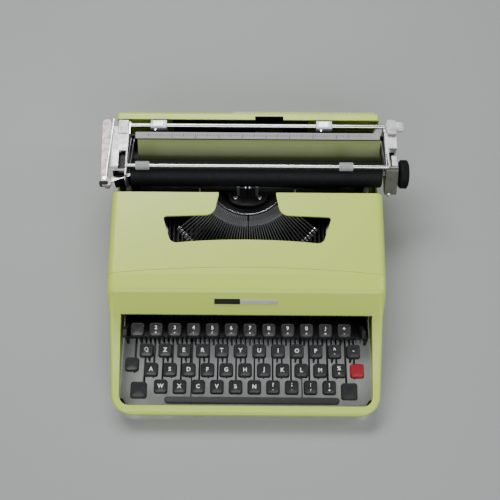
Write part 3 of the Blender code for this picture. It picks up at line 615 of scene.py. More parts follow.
def bake_modifiers(piece):
    """Turn what the modifiers show into the piece's own mesh."""
    graph = bpy.context.evaluated_depsgraph_get()
    made = bpy.data.meshes.new_from_object(piece.evaluated_get(graph))
    old = piece.data
    piece.modifiers.clear()
    piece.data = made
    bpy.data.meshes.remove(old)
    return piece


def combine(piece, operation, *tools):
    """Boolean each tool into the piece and throw it away."""
    for tool in tools:
        modifier = piece.modifiers.new("shape", "BOOLEAN")
        modifier.operation = operation
        modifier.solver = "EXACT"
        modifier.object = tool
        bake_modifiers(piece)
        drop(tool)
    return piece


def cut(piece, *tools):
    return combine(piece, "DIFFERENCE", *tools)


def soften(piece, width, segments=3, angle=32.0):
    """Round the sharp edges and even out the shading of flat faces."""
    bevel = piece.modifiers.new("round", "BEVEL")
    bevel.width = width * MM
    bevel.segments = segments
    bevel.limit_method = "ANGLE"
    bevel.angle_limit = math.radians(angle)
    bevel.use_clamp_overlap = True
    bake_modifiers(piece)
    return smooth(piece)


def smooth(piece, angle=40.0):
    piece.data.shade_smooth()
    piece.data.set_sharp_from_angle(angle=math.radians(angle))
    even = piece.modifiers.new("even", "WEIGHTED_NORMAL")
    even.keep_sharp = True
    return bake_modifiers(piece)


def gather(name, parts):
    """Join several pieces into one object that keeps their materials."""
    materials = []
    bm = bmesh.new()
    for part in parts:
        first = len(bm.faces)
        bm.from_mesh(part.data)
        bm.faces.ensure_lookup_table()
        slots = []
        for material in part.data.materials:
            if material not in materials:
                materials.append(material)
            slots.append(materials.index(material))
        for face in bm.faces[first:]:
            face.material_index = slots[face.material_index] if slots else 0
    mesh = bpy.data.meshes.new(name)
    bm.to_mesh(mesh)
    bm.free()
    for material in materials:
        mesh.materials.append(material)
    for part in parts:
        drop(part)
    return new_piece(name, mesh)


def refined(name, node, look, width=0.4, segments=2):
    """A copy of a CAD node with its seams merged and its edges rounded."""
    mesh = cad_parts[node].data.copy()
    mesh.materials.clear()
    bm = bmesh.new()
    bm.from_mesh(mesh)
    bmesh.ops.remove_doubles(bm, verts=bm.verts, dist=0.00001)
    bmesh.ops.dissolve_limit(bm, angle_limit=0.01, verts=bm.verts, edges=bm.edges)
    bm.to_mesh(mesh)
    bm.free()
    piece = new_piece(name, mesh, look)
    return soften(piece, width, segments)


def settle(piece, body, slot, *nodes):
    """Let a finished piece ride on its body and stand for its CAD nodes."""
    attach(piece, body)
    if nodes:
        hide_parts(*nodes)
    return piece


# Repeating with Geometry Nodes


def repeat_tree():
    """Copies of the incoming mesh along a line, each turned a step further."""
    known = bpy.data.node_groups.get("repeat")
    if known:
        return known
    tree = bpy.data.node_groups.new("repeat", "GeometryNodeTree")
    face = tree.interface
    face.new_socket("Geometry", in_out="INPUT", socket_type="NodeSocketGeometry")
    face.new_socket("Count", in_out="INPUT", socket_type="NodeSocketInt")
    face.new_socket("Step", in_out="INPUT", socket_type="NodeSocketVector")
    face.new_socket("First Turn", in_out="INPUT", socket_type="NodeSocketVector")
    face.new_socket("Turn", in_out="INPUT", socket_type="NodeSocketVector")
    face.new_socket("Finish", in_out="INPUT", socket_type="NodeSocketMaterial")
    face.new_socket("Geometry", in_out="OUTPUT", socket_type="NodeSocketGeometry")
    start = tree.nodes.new("NodeGroupInput")
    end = tree.nodes.new("NodeGroupOutput")
    line = tree.nodes.new("GeometryNodeMeshLine")
    index = tree.nodes.new("GeometryNodeInputIndex")
    turn = tree.nodes.new("ShaderNodeVectorMath")
    turn.operation = "SCALE"
    total = tree.nodes.new("ShaderNodeVectorMath")
    total.operation = "ADD"
    copies = tree.nodes.new("GeometryNodeInstanceOnPoints")
    real = tree.nodes.new("GeometryNodeRealizeInstances")
    paint = tree.nodes.new("GeometryNodeSetMaterial")
    link = tree.links.new
    link(start.outputs["Count"], line.inputs["Count"])
    link(start.outputs["Step"], line.inputs["Offset"])
    link(start.outputs["Turn"], turn.inputs[0])
    link(index.outputs[0], turn.inputs["Scale"])
    link(start.outputs["First Turn"], total.inputs[0])
    link(turn.outputs[0], total.inputs[1])
    link(line.outputs["Mesh"], copies.inputs["Points"])
    link(start.outputs["Geometry"], copies.inputs["Instance"])
    link(total.outputs[0], copies.inputs["Rotation"])
    link(copies.outputs[0], real.inputs[0])
    link(real.outputs[0], paint.inputs["Geometry"])
    link(start.outputs["Finish"], paint.inputs["Material"])
    link(paint.outputs[0], end.inputs[0])
    return tree


def repeated(shape, count, look, step=(0, 0, 0), first=(0, 0, 0), turn=(0, 0, 0), about=(0, 0, 0)):
    """Repeat a shape along a line in millimetres, or round a point, in radians."""
    centre = put(*about)
    shape.data.transform(Matrix.Translation(-centre))
    modifier = shape.modifiers.new("repeat", "NODES")
    modifier.node_group = repeat_tree()
    values = {
        "Count": count,
        "Step": tuple(part * MM for part in step),
        "First Turn": first,
        "Turn": turn,
        "Finish": finish(look),
    }
    for item in modifier.node_group.interface.items_tree:
        if item.in_out == "INPUT" and item.name in values:
            value = values[item.name]
            modifier[item.identifier] = value
    bake_modifiers(shape)
    shape.data.transform(Matrix.Translation(centre))
    return shape


# Housing and cover

WELL_LENGTH = 87.6
WELL_CORNER = 10.0
WELL_RIM = 8.0
APRON_FOOT = 56.0
APRON_DEPTH = 17.8
CREASE_TOP = 77.2
SEAM_BEHIND_APRON = 16.4
SEAM_ARCH = 8.0
SEAM_TOP = 80.0
COVER_TOP = 87.0
LIP_SHOULDER = 3.0
FRONT_CORNER = 18.0
REAR_CORNER = 4.0
FRONT_DRAFT = 2.8
FRONT_DRAFT_REACH = 60.0
HOUSING_FLOOR = 5.5
SKIRT_FOOT = 70.0
REAR_BAR = 10.6
NOTCH_X = (7.6, 38.8)
NOTCH_DEPTH = 4.5
BAY_FLOOR = 62.0
FOOT_RADIUS = 4.5
HIGH = 120.0


def well_front():
    return BODY_FRONT + size("front_lip")


def well_rear():
    return well_front() + WELL_LENGTH


def seam_ends():
    return well_rear() + APRON_DEPTH + SEAM_BEHIND_APRON


def top_line(inset):
    """Side view of the upper surface, from front to rear."""
    lip = size("lip_top")
    crease = well_rear() + APRON_DEPTH
    corners = [
        (BODY_FRONT, lip - LIP_SHOULDER, 0),
        (BODY_FRONT + LIP_SHOULDER, lip, 2.5),
        (well_rear(), APRON_FOOT, 0),
        (crease, CREASE_TOP, size("crease")),
        (seam_ends(), SEAM_TOP, 0),
        (COVER_REAR, COVER_TOP, 0),
        (BODY_REAR - LIP_SHOULDER, REAR_TOP, 2.5),
        (BODY_REAR, REAR_TOP - LIP_SHOULDER, 0),
    ]
    return [(y, z - inset) for y, z in fillet(corners, closed=False, step=5.0)]


def height_at(line, y):
    for (y0, z0), (y1, z1) in zip(line, line[1:]):
        if y <= y1:
            return z0 + (z1 - z0) * max(0.0, y - y0) / (y1 - y0)
    return line[-1][1]


def side_lean(z):
    """How far the sides stand out at a height, as they widen upwards."""
    return SIDE_DRAFT * (z - DRAFT_LEVEL)


def shoulder_at(y):
    """Radius along the long top edges: full over the hood, small at lip and rear bar."""
    rise = min(1.0, max(0.0, (y - well_rear()) / APRON_DEPTH))
    fall = min(1.0, max(0.0, (y - COVER_REAR - 20) / 40))
    full = LIP_SHOULDER + (size("shoulder") - LIP_SHOULDER) * rise
    return full + (BAR_SHOULDER - full) * fall


def body_form(name, inset):
    """The whole outer form of the machine, or the room inside its walls."""
    line = top_line(inset)
    front, rear = BODY_FRONT + inset, BODY_REAR - inset
    half = BODY_HALF - inset
    front_corner, rear_corner = FRONT_CORNER - inset, REAR_CORNER - inset
    stations = {}
    for i in range(10):
        angle = math.radians(10.0 * i)
        forward = front + front_corner * (1 - math.cos(angle))
        backward = rear - rear_corner * (1 - math.cos(angle))
        stations[forward] = half - front_corner * (1 - math.sin(angle))
        stations[backward] = half - rear_corner * (1 - math.sin(angle))
    for y, _ in line:
        if front + front_corner < y < rear - rear_corner:
            stations[y] = half
    rings = []
    floor = HOUSING_FLOOR - 3 * inset
    for y in sorted(stations):
        shoulder = shoulder_at(y) - inset / 2
        width, top = stations[y], height_at(line, y)
        crown = width + side_lean(top - shoulder)
        corners = arc((crown - shoulder, top - shoulder), shoulder, 0, 90, 10)
        right = [(width + side_lean(floor), floor), *corners]
        left = [(-x, z) for x, z in reversed(right)]
        lean = FRONT_DRAFT * max(0.0, 1 - (y - front) / FRONT_DRAFT_REACH) / (top - floor)
        rings.append([(x, y + lean * (top - z), z) for x, z in right + left])
    return from_rings(name, rings)


def seam_line(offset):
    """Arched seam between housing and cover, from left to right."""
    points = []
    for i in range(41):
        share = i / 20 - 1
        x = share * (BODY_HALF + 6)
        points.append((x, seam_ends() + offset + SEAM_ARCH * (1 - share * share)))
    return points


def behind_seam(name, offset, rear, low):
    wide = BODY_HALF + 6
    outline = seam_line(offset) + [(wide, rear), (-wide, rear)]
    return prism(name, "Z", outline, low, HIGH)


def well_outline(half, front):
    """Plan of the keyboard well, square at its rear edge."""
    return fillet([
        (-half, well_rear(), 0),
        (-half, front, WELL_CORNER),
        (half, front, WELL_CORNER),
        (half, well_rear(), 0),
    ])


def below_rim():
    """Everything more than the rim's depth below the sloping top of the well."""
    front, rear = well_front() - 10, well_rear() + 10
    slope = (APRON_FOOT - size("lip_top")) / (well_rear() - BODY_FRONT - LIP_SHOULDER)
    rear_top = APRON_FOOT + slope * 10 - WELL_RIM
    front_top = rear_top - slope * (rear - front)
    outline = [(front, -30), (rear, -30), (rear, rear_top), (front, front_top)]
    return prism("below_rim", "X", outline, -BODY_HALF - 6, BODY_HALF + 6)


def housing_shell():
    """Lower housing: pressed sheet with the keyboard well and the bay for the carriage."""
    wall = size("wall")
    well_half = BODY_HALF - size("side_lip")
    bar_front = BODY_REAR - REAR_BAR
    rim = prism("rim", "Z", well_outline(well_half + wall, well_front() - wall), -20, HIGH)
    room = cut(body_form("room", wall), cut(rim, below_rim()))
    shell = cut(body_form("housing_shell", 0), room)
    cut(shell, prism("well", "Z", well_outline(well_half, well_front()), -20, HIGH))
    cut(shell, behind_seam("seat", 0, bar_front, SKIRT_FOOT))
    wide = (-BODY_HALF - 6, BODY_HALF + 6)
    cut(shell, block("bay", wide, (COVER_REAR, bar_front), (BAY_FLOOR, HIGH)))
    notch_y = (bar_front - 2, bar_front + NOTCH_DEPTH)
    cut(shell, block("notch", NOTCH_X, notch_y, (BAY_FLOOR, HIGH)))
    shell.data.materials.clear()
    shell.data.materials.append(finish("housing_enamel"))
    return soften(shell, size("edge"), 3)


def opening_outline():
    """Plan of the T-shaped opening over the type basket."""
    foot, shoulder = COVER_REAR - 57.6, COVER_REAR - 25.7
    right = [
        (0, foot + 4.3, 0),
        (24.0, foot + 3.9, 0),
        (43.3, foot + 3.1, 0),
        (62.0, foot + 1.7, 0),
        (78.8, foot, 8),
        (88.3, shoulder - 2, 3),
        (34.8, shoulder, 11),
        (30.3, COVER_REAR - 3, 0),
        (30.3, COVER_REAR + 5, 0),
    ]
    left = [(-x, y, radius) for x, y, radius in reversed(right[1:])]
    return fillet(right + left, step=10.0)


def cover_shell():
    """Lift-off cover over the ribbon and the type basket."""
    cover = body_form("cover_shell", 0)
    combine(cover, "INTERSECT", behind_seam("keep", 0.3, COVER_REAR, SKIRT_FOOT + 0.3))
    opening = prism("opening", "Z", opening_outline(), SKIRT_FOOT - 20, HIGH)
    cut(cover, body_form("room", size("wall")), opening)
    cover.data.materials.clear()
    cover.data.materials.append(finish("housing_enamel"))
    return soften(cover, 0.55, 3)


def rubber_feet():
    """Four turned rubber feet."""
    feet = []
    side = BODY_HALF + side_lean(HOUSING_FLOOR) - FOOT_RADIUS - 0.2
    profile = [(0.0, 3.6), (0.4, 4.3), (5.0, 4.5), (5.4, 4.5), (13.5, 4.2)]
    for x in (-side, side):
        for y in (BODY_FRONT + 14.5, BODY_REAR - 10.5):
            feet.append(turned("foot", "Z", (x, y), profile, 36, "rubber"))
    return smooth(gather("rubber_feet", feet))


def badge():
    """Blank name plate on the apron: black enamel beside a brushed strip."""
    low, high = Vector((well_rear(), APRON_FOOT)), Vector((well_rear() + APRON_DEPTH, CREASE_TOP))
    along = (high - low).normalized()
    out = Vector((-along.y, along.x))
    middle = low.lerp(high, 0.55)
    plates = []
    for x0, x1, tall, look in ((-32.8, -6.6, 6.0, "black_enamel"), (-6.2, 31.5, 4.6, "badge_strip")):
        corners = []
        for side, rise in ((-1, -0.2), (1, -0.2), (1, 0.7), (-1, 0.7)):
            spot = middle + along * (side * tall / 2) + out * rise
            corners.append((spot.x, spot.y))
        plates.append(soften(prism("plate", "X", corners, x0, x1, look), 0.25, 2))
    return gather("badge", plates)


def rear_ribs():
    """Row of teeth along the right half of the rear edge."""
    rib = prism("rear_ribs", "X", [
        (BODY_REAR - 5.2, REAR_TOP - 0.8),
        (BODY_REAR - 0.1, REAR_TOP - 3.4),
        (BODY_REAR - 0.1, REAR_TOP - 0.7),
        (BODY_REAR - 0.6, REAR_TOP + 0.3),
        (BODY_REAR - 4.8, REAR_TOP + 0.15),
    ], -16.0, -14.5)
    soften(rib, 0.3, 2)
    return repeated(rib, 59, "housing_enamel", step=(2.64, 0, 0))


def bay_lining():
    """Black sheet on the front face of the rear bar: painted shadow standing in for the deep shade in the
    carriage bay.
    """
    y = BODY_REAR - REAR_BAR
    sheets = (
        ((-83.0, NOTCH_X[0]), y, 1.2),
        ((NOTCH_X[1], 66.0), y, 3.5),
        (NOTCH_X, y + NOTCH_DEPTH, 0.6),
    )
    parts = []
    for wide, face, below_top in sheets:
        tall = (BAY_FLOOR + 0.5, REAR_TOP - below_top)
        parts.append(block("lining", wide, (face - 0.5, face + 0.3), tall, "black_enamel"))
    return gather("bay_lining", parts)


# Keys

LEGENDS = {
    "key_q": "Q", "key_z": "Z", "key_e": "E", "key_r": "R", "key_t": "T", "key_y": "Y",
    "key_u": "U", "key_i": "I", "key_o": "O", "key_p": "P", "key_circumflex": "^",
    "key_a": "A", "key_s": "S", "key_d": "D", "key_f": "F", "key_g": "G", "key_h": "H",
    "key_j": "J", "key_k": "K", "key_l": "L", "key_m": "M", "key_percent": "%",
    "key_w": "W", "key_x": "X", "key_c": "C", "key_v": "V", "key_b": "B", "key_n": "N",
    "key_question": "?", "key_semicolon": ";", "key_colon": ":", "key_exclamation": "!",
    "backspace_key": "-",
}
LOWER_SIGNS = {
    "key_circumflex": "..", "key_percent": "u", "key_question": ",", "key_semicolon": ".",
    "key_colon": "/", "key_exclamation": "o",
}
NUMBER_ROW = (
    ("2", "e"), ("3", "\""), ("4", "'"), ("5", "("), ("6", "_"), ("7", "e"),
    ("8", "^"), ("9", "c"), ("0", "a"), (")", "o"), ("+", "-"),
)
CAP_DEPTH = 4.6
CAP_SLOPE = math.tan(math.radians(8.0))
LEVER_HEIGHT = 5.0
KEY_PITCH = 19.05
SLOT_PITCH = KEY_PITCH / 4
COMB_TEETH = 50
CAP_FLARE = 0.35
NUMBER_CAP_HALF = 6.75
NUMBER_LEGEND_SHARE = 0.92
SHIFT_CAP_HALF = 8.1
SHIFT_CAP_TOP = 35.5
SHIFT_LEVER_LEANS = (3.4, -1.2)
SPACE_BAR_DEEP = 6.6
SPACE_ARM_THICK = 0.85
SPACE_ARM_PLACES = (7.35, 31.35)


def cap_surface(across, along, half):
    """Height of a cap's dished top above its flat, from shares of its half widths."""
    reach = min(1.0, (abs(across) ** 2.6 + abs(along) ** 2.6) ** (1 / 2.6))
    return -size("dish") * (1 - reach ** 2.2) * min(1.0, half / 6.5)


def key_cap(centre, top, half, look):
    """A moulded cap with soft edges and a hollow top."""
    foot_half = half + CAP_FLARE
    layers = (
        (1.0, foot_half, 0.0, 0.6),
        (1.0, foot_half - 0.05, 0.25, 0.6),
        (1.0, half + 0.05, CAP_DEPTH - 1.3, 0.9),
        (0.985, half, CAP_DEPTH - 0.75, 1.0),
        (0.955, half, CAP_DEPTH - 0.30, 1.0),
        (0.91, half, CAP_DEPTH - 0.08, 1.0),
        (0.86, half, CAP_DEPTH - 0.02, 1.0),
        (0.74, half, None, 1.0),
        (0.55, half, None, 1.0),
        (0.32, half, None, 1.0),
        (0.10, half, None, 1.0),
    )
    rings = []
    for share, reach, rise, follow in layers:
        radius = 2.7 * (0.35 + 0.65 * share)
        outline = rounded_box((0, 0), (2 * reach * share, 2 * reach * share), radius * share, 18.0)
        ring = []
        for x, y in outline:
            lift = rise
            if lift is None:
                lift = CAP_DEPTH - 0.02 + cap_surface(x / half, y / half, half)
            z = top - CAP_DEPTH + lift + y * CAP_SLOPE * follow
            ring.append((centre[0] + x, centre[1] + y, z))
        rings.append(ring)
    cap = from_rings("cap", rings, look)
    return smooth(cap, 50.0)


def legend(text, centre, top, half, tall, offset):
    """A letter laid on the dished top of a cap."""
    curve = bpy.data.curves.new("legend", "FONT")
    curve.body = text
    curve.size = tall
    curve.align_x = "CENTER"
    curve.align_y = "CENTER"
    curve.resolution_u = 3
    curve.offset = 0.034 * tall
    holder = bpy.data.objects.new("legend", curve)
    bpy.context.scene.collection.objects.link(holder)
    graph = bpy.context.evaluated_depsgraph_get()
    mesh = bpy.data.meshes.new_from_object(holder.evaluated_get(graph))
    bpy.data.objects.remove(holder)
    bpy.data.curves.remove(curve)
    mesh.materials.clear()
    mesh.materials.append(finish("legend_paint"))
    across = [vertex.co.x for vertex in mesh.vertices]
    along = [vertex.co.y for vertex in mesh.vertices]
    shift_x = offset[0] - (min(across) + max(across)) / 2
    shift_y = offset[1] - (min(along) + max(along)) / 2
    for vertex in mesh.vertices:
        x = vertex.co.x + shift_x
        y = vertex.co.y + shift_y
        lift = cap_surface(x / half, y / half, half) + y * CAP_SLOPE + 0.05
        vertex.co = put(centre[0] + x, centre[1] + y, top + lift)
    bm = bmesh.new()
    bm.from_mesh(mesh)
    shell = bmesh.ops.extrude_face_region(bm, geom=bm.faces[:])
    moved = [item for item in shell["geom"] if isinstance(item, bmesh.types.BMVert)]
    bmesh.ops.translate(bm, verts=moved, vec=(0, 0, -0.18 * MM))
    bmesh.ops.recalc_face_normals(bm, faces=bm.faces)
    bm.to_mesh(mesh)
    bm.free()
    return new_piece("legend", mesh)


def key_lever(x, stem_y, top, rear, floor, thick=1.7):
    """Flat steel lever with its upright stem."""
    high = floor + LEVER_HEIGHT
    outline = fillet([
        (rear, floor, 1.2),
        (rear, high, 1.2),
        (stem_y + 2.0, high, 2.5),
        (stem_y + 1.6, top, 0),
        (stem_y - 1.6, top, 0),
        (stem_y - 2.0, floor, 2.0),
    ], step=30.0)
    lever = prism("lever", "X", outline, x - thick / 2, x + thick / 2, "black_enamel")
    return smooth(lever, 25.0)


def key_parts(centre, top, half, lever_x, rear, floor, look="key_plastic"):
    """Cap and lever of one key."""
    cap = key_cap(centre, top, half, look)
    lever = key_lever(lever_x, centre[1], top - CAP_DEPTH + 0.8, rear, floor)
    return [cap, lever]


def single_key(node, look="key_plastic"):
    """A key that stands for one CAD node: its cap is the front of the node's box."""
    low, high = limits(node)
    half = (high.x - low.x) / 2 - CAP_FLARE
    centre = ((low.x + high.x) / 2, low.y + half + CAP_FLARE)
    top = high.z - (half - 0.65) * CAP_SLOPE
    parts = key_parts(centre, top, half, centre[0], high.y, low.z, look)
    text = LEGENDS.get(node)
    if text:
        lower = LOWER_SIGNS.get(node)
        spot = (0.0, 2.2) if lower else (0.0, 0.2)
        parts.append(legend(text, centre, top, half, size("legend"), spot))
        if lower:
            parts.append(legend(lower, centre, top, half, size("small_legend"), (0.0, -3.0)))
    piece = gather(node.replace("key_", "") + "_key_cap", parts)
    slot = "red_plastic" if look == "red_plastic" else "key_plastic"
    return settle(piece, node, slot, node)


def number_keys():
    """The number row: eleven caps and levers over one tie bar."""
    low, high = limits("number_key_bank")
    half = NUMBER_CAP_HALF
    pitch = (high.x - low.x - 2 * (half + CAP_FLARE)) / (len(NUMBER_ROW) - 1)
    top = high.z - (half - 0.65) * CAP_SLOPE
    y = low.y + half + CAP_FLARE
    parts = []
    for i, (upper, lower) in enumerate(NUMBER_ROW):
        centre = (low.x + half + CAP_FLARE + i * pitch, y)
        parts += key_parts(centre, top, half, centre[0], high.y, low.z)
        parts.append(legend(upper, centre, top, half, size("legend") * NUMBER_LEGEND_SHARE, (0.0, 2.3)))
        parts.append(legend(lower, centre, top, half, size("small_legend"), (0.0, -3.2)))
    tie_y = (high.y - 11.5, high.y - 5.5)
    tie = block("tie", (low.x + 5, high.x - 5), tie_y, (22.5, 25.0), "black_enamel")
    parts.append(soften(tie, 0.3, 2))
    return settle(gather("number_row_keys", parts), "number_key_bank", "key_plastic", "number_key_bank")


def shift_pair():
    """Both shift keys and the bail behind the fulcrum that ties them."""
    low, high = limits("shift_keys")
    half = SHIFT_CAP_HALF
    floor = low.z
    y = low.y + half + CAP_FLARE
    bail_y = high.y - 3.5
    parts = []
    ends = (low.x + half + CAP_FLARE, high.x - half - CAP_FLARE)
    levers = []
    for x, lean in zip(ends, SHIFT_LEVER_LEANS):
        lever_x = x + lean
        levers.append(lever_x)
        parts += key_parts((x, y), SHIFT_CAP_TOP, half, lever_x, bail_y + 1, floor)
    bail = block("bail", levers, (bail_y, high.y), (floor + 0.5, floor + 4), "black_enamel")
    parts.append(soften(bail, 0.3, 2))
    return settle(gather("shift_key_pair", parts), "shift_keys", "key_plastic", "shift_keys")


def space_bar():
    """A long bar with round ends on two arms."""
    low, high = limits("space_bar")
    front, rear = low.y, low.y + SPACE_BAR_DEEP
    middle = ((low.x + high.x) / 2, (front + rear) / 2)
    wide = (high.x - low.x, rear - front)
    rings = []
    for grow, z in ((0, 25.0), (0, 28.2), (-0.5, 29.2), (-1.3, 29.8), (-2.4, high.z)):
        outline = rounded_box(middle, (wide[0] + grow, wide[1] + grow), 3.0 + grow / 2.2, 15.0)
        rings.append([(x, y, z) for x, y in outline])
    parts = [smooth(from_rings("bar", rings, "key_plastic"), 50.0)]
    first = limits("number_key_bank")[0].x + 7.1
    for place in SPACE_ARM_PLACES:
        x = first + place * SLOT_PITCH
        parts.append(key_lever(x, middle[1], 26.5, high.y, low.z, SPACE_ARM_THICK))
    return settle(gather("space_bar_assembly", parts), "space_bar", "key_plastic", "space_bar")


def well_levers():
    """Tab-set and ribbon selector levers with ridged finger pads."""
    made = []
    for node in ("tab_set_lever", "ribbon_selector_lever"):
        low, high = limits(node)
        body = refined(node + "_plate", node, "black_enamel", 0.35)
        wide = (low.x + 0.5, high.x - 0.5)
        ridge = block("ridge", wide, (low.y + 1.2, low.y + 1.8), (high.z - 0.3, high.z + 0.3))
        repeated(ridge, 6, "black_enamel", step=(0, 1.2, 0))
        piece = gather(node + "_body", [body, ridge])
        made.append(settle(piece, node, "blackened_steel", node))
    return made


# Type basket

BASKET_TILT = math.radians(15.0)
FAN_HALF_ANGLE = math.radians(51.0)
COMB_HALF_ANGLE = math.radians(50.0)
BAR_TIP_GAP = 0.5
TYPEBAR_COUNT = 45
PIVOT_RADIUS = 55.0


def basket_centre():
    return (0.0, PLATEN_Y + 9.5, 58.0)


def tilt_basket(piece):
    """Lean a piece, drawn flat about the basket's centre, into the basket's plane."""
    centre = put(*basket_centre())
    turn = Matrix.Rotation(BASKET_TILT, 4, "X")
    piece.data.transform(Matrix.Translation(centre) @ turn @ Matrix.Translation(-centre))
    return piece


def flat_ring(name, inner, outer, low, high, look):
    """A slice of a ring that opens to the rear, drawn flat about the basket's centre."""
    x, y, z = basket_centre()
    span = math.degrees(FAN_HALF_ANGLE) + 2.5
    outline = arc((x, y), outer, -90 - span, -90 + span, 48)
    outline += arc((x, y), inner, -90 + span, -90 - span, 48)
    return prism(name, "Z", outline, z + low, z + high, look)


def typebar_outline(outer):
    """Side view of a resting typebar, heel to tip, about the basket's centre."""
    _, y, z = basket_centre()
    heel = y - PIVOT_RADIUS + 3.5
    return [
        (heel, z - 1.9),
        (heel, z + 1.6),
        (y - 62, z + 1.9),
        (y - 80, z + 1.2),
        (y - outer + 5, z + 1.0),
        (y - outer, z + 1.4),
        (y - outer, z - 1.4),
        (y - 80, z - 1.6),
        (y - 64, z - 1.9),
    ]


def typebar_shape(outer):
    bar = prism("bar", "X", typebar_outline(outer), -0.5, 0.5, "dark_steel")
    return soften(bar, 0.15, 1)


def slug_shape(outer):
    """The bright type slug at a typebar's end."""
    _, y, z = basket_centre()
    outline = [
        (y - outer, z - 1.9),
        (y - outer + 5.2, z - 1.9),
        (y - outer + 5.2, z + 1.2),
        (y - outer + 3.6, z + 1.9),
        (y - outer, z + 1.9),
    ]
    slug = prism("slug", "X", outline, -1.1, 1.1, "bright_steel")
    return soften(slug, 0.25, 2)


def basket_radius():
    """Outer reach of the resting bars, from the CAD comb."""
    return (BASKET_HIGH.x - BASKET_LOW.x) / 2 / math.sin(COMB_HALF_ANGLE) - BAR_TIP_GAP


def type_basket():
    """Slotted segment, resting typebars with their slugs, and the inner plate."""
    _, y, z = basket_centre()
    outer = basket_radius()
    step = 2 * FAN_HALF_ANGLE / (TYPEBAR_COUNT - 1)
    half = TYPEBAR_COUNT // 2
    fan = {"turn": (0, 0, step), "about": basket_centre()}
    tooth_outline = [
        (y - 58.5, z - 1.8),
        (y - 58.5, z + 1.2),
        (y - 56.0, z + 2.6),
        (y - 46.5, z + 3.4),
        (y - 45.0, z - 1.8),
    ]
    parts = []
    for first in (-FAN_HALF_ANGLE, step):
        start = (0, 0, first)
        parts.append(repeated(typebar_shape(outer), half, "dark_steel", first=start, **fan))
        parts.append(repeated(slug_shape(outer), half, "bright_steel", first=start, **fan))
        tooth = soften(prism("tooth", "X", tooth_outline, -0.75, 0.75), 0.2, 1)
        parts.append(repeated(tooth, half, "dark_steel", first=(0, 0, first + step / 2), **fan))
    parts.append(soften(flat_ring("rim", 38.0, 44.4, -2.0, 3.6, "black_enamel"), 1.2, 3))
    parts.append(soften(flat_ring("edge", 44.2, 45.1, 1.5, 3.9, "bright_steel"), 0.3, 2))
    parts.append(soften(flat_ring("base", 35.5, 58.0, -2.0, -0.6, "black_enamel"), 0.4, 2))
    parts.append(soften(flat_ring("lip", 57.8, 62.0, -3.4, -2.1, "black_enamel"), 0.5, 2))
    piece = gather("segment_and_typebars", parts)
    tilt_basket(piece)
    plate_outline = fillet([
        (-23.0, COVER_REAR + 15, 3),
        (-19.0, COVER_REAR + 3, 8),
        (-7.0, COVER_REAR - 1.5, 8),
        (7.0, COVER_REAR - 1.5, 8),
        (19.0, COVER_REAR + 3, 8),
        (23.0, COVER_REAR + 15, 3),
    ])
    plate = soften(prism("inner_plate", "Z", plate_outline, 57.5, 60.5, "black_enamel"), 0.6, 3)
    screws = [screw((side * 13.2, COVER_REAR + 8.2), 60.4, 2.3, "bright_steel") for side in (-1, 1)]
    whole = gather("type_basket_assembly", [piece, plate, *screws])
    return settle(whole, "basket", "blackened_steel", "type_basket")


def moving_typebar():
    """The H bar with its slug, on its own hinge."""
    outer = limits_radius("typebar_h")
    whole = gather("typebar_h_bar", [typebar_shape(outer), slug_shape(outer)])
    tilt_basket(whole)
    return settle(whole, "typebar", "bright_steel", "typebar_h")


def limits_radius(node):
    """Reach of a node from the basket's centre, measured in the basket's plane."""
    low, _ = limits(node)
    _, y, _ = basket_centre()
    return (y - low.y) / math.cos(BASKET_TILT) - 0.6


def screw(centre, top, radius, look="dark_steel"):
    """Slotted cheese-head screw, standing on a face."""
    profile = [(top - 1.0, radius), (top + 0.7, radius), (top + 1.1, radius - 0.4)]
    head = turned("screw", "Z", centre, profile, 28, look)
    slot = block("slot", (centre[0] - radius - 1, centre[0] + radius + 1),
                 (centre[1] - 0.3, centre[1] + 0.3), (top + 0.5, top + 3))
    cut(head, slot)
    return smooth(head, 30.0)


def type_guide():
    """Ribbon vibrator and type guide in front of the platen, with two pale index marks."""
    y = PLATEN_Y - PLATEN_RADIUS - 3.0
    parts = []
    for side in (-1, 1):
        low, high = sorted((side * 1.4, side * 8.5))
        parts.append(soften(block("cheek", (low, high), (y - 1.6, y), (58.0, 80.2), "black_enamel"), 0.5, 2))
        low, high = sorted((side * 8.5, side * 11.5))
        horn = block("horn", (low, high), (y - 1.4, y - 0.4), (62.0, 82.0), "dark_steel")
        parts.append(soften(horn, 0.4, 2))
        mark_x = (side * 2.1 - 0.65, side * 2.1 + 0.65)
        mark = block("mark", mark_x, (y - 1.9, y + 0.2), (79.6, 80.8), "legend_paint")
        parts.append(soften(mark, 0.3, 2))
    return settle(gather("type_guide", parts), "basket", "blackened_steel")


def card_rail():
    """Low dark rail in front of the platen with two pale ribbon hooks."""
    y = PLATEN_Y - 9.4
    parts = [
        soften(block("rail", (12.0, 62.0), (y, y + 1.0), (63.2, 64.4), "dark_steel"), 0.3, 2),
        soften(block("rail", (60.0, 100.0), (y - 1.4, y + 1.6), (62.6, 64.6), "dark_steel"), 0.4, 2),
    ]
    for x in (-52.2, 51.9):
        hook = turned("hook", "Z", (x, y - 2.0), [(58.0, 0.9), (64.0, 0.9), (64.6, 0.5)], 20, "legend_paint")
        parts.append(smooth(hook))
    return settle(gather("card_rail", parts), "root", "black_enamel")


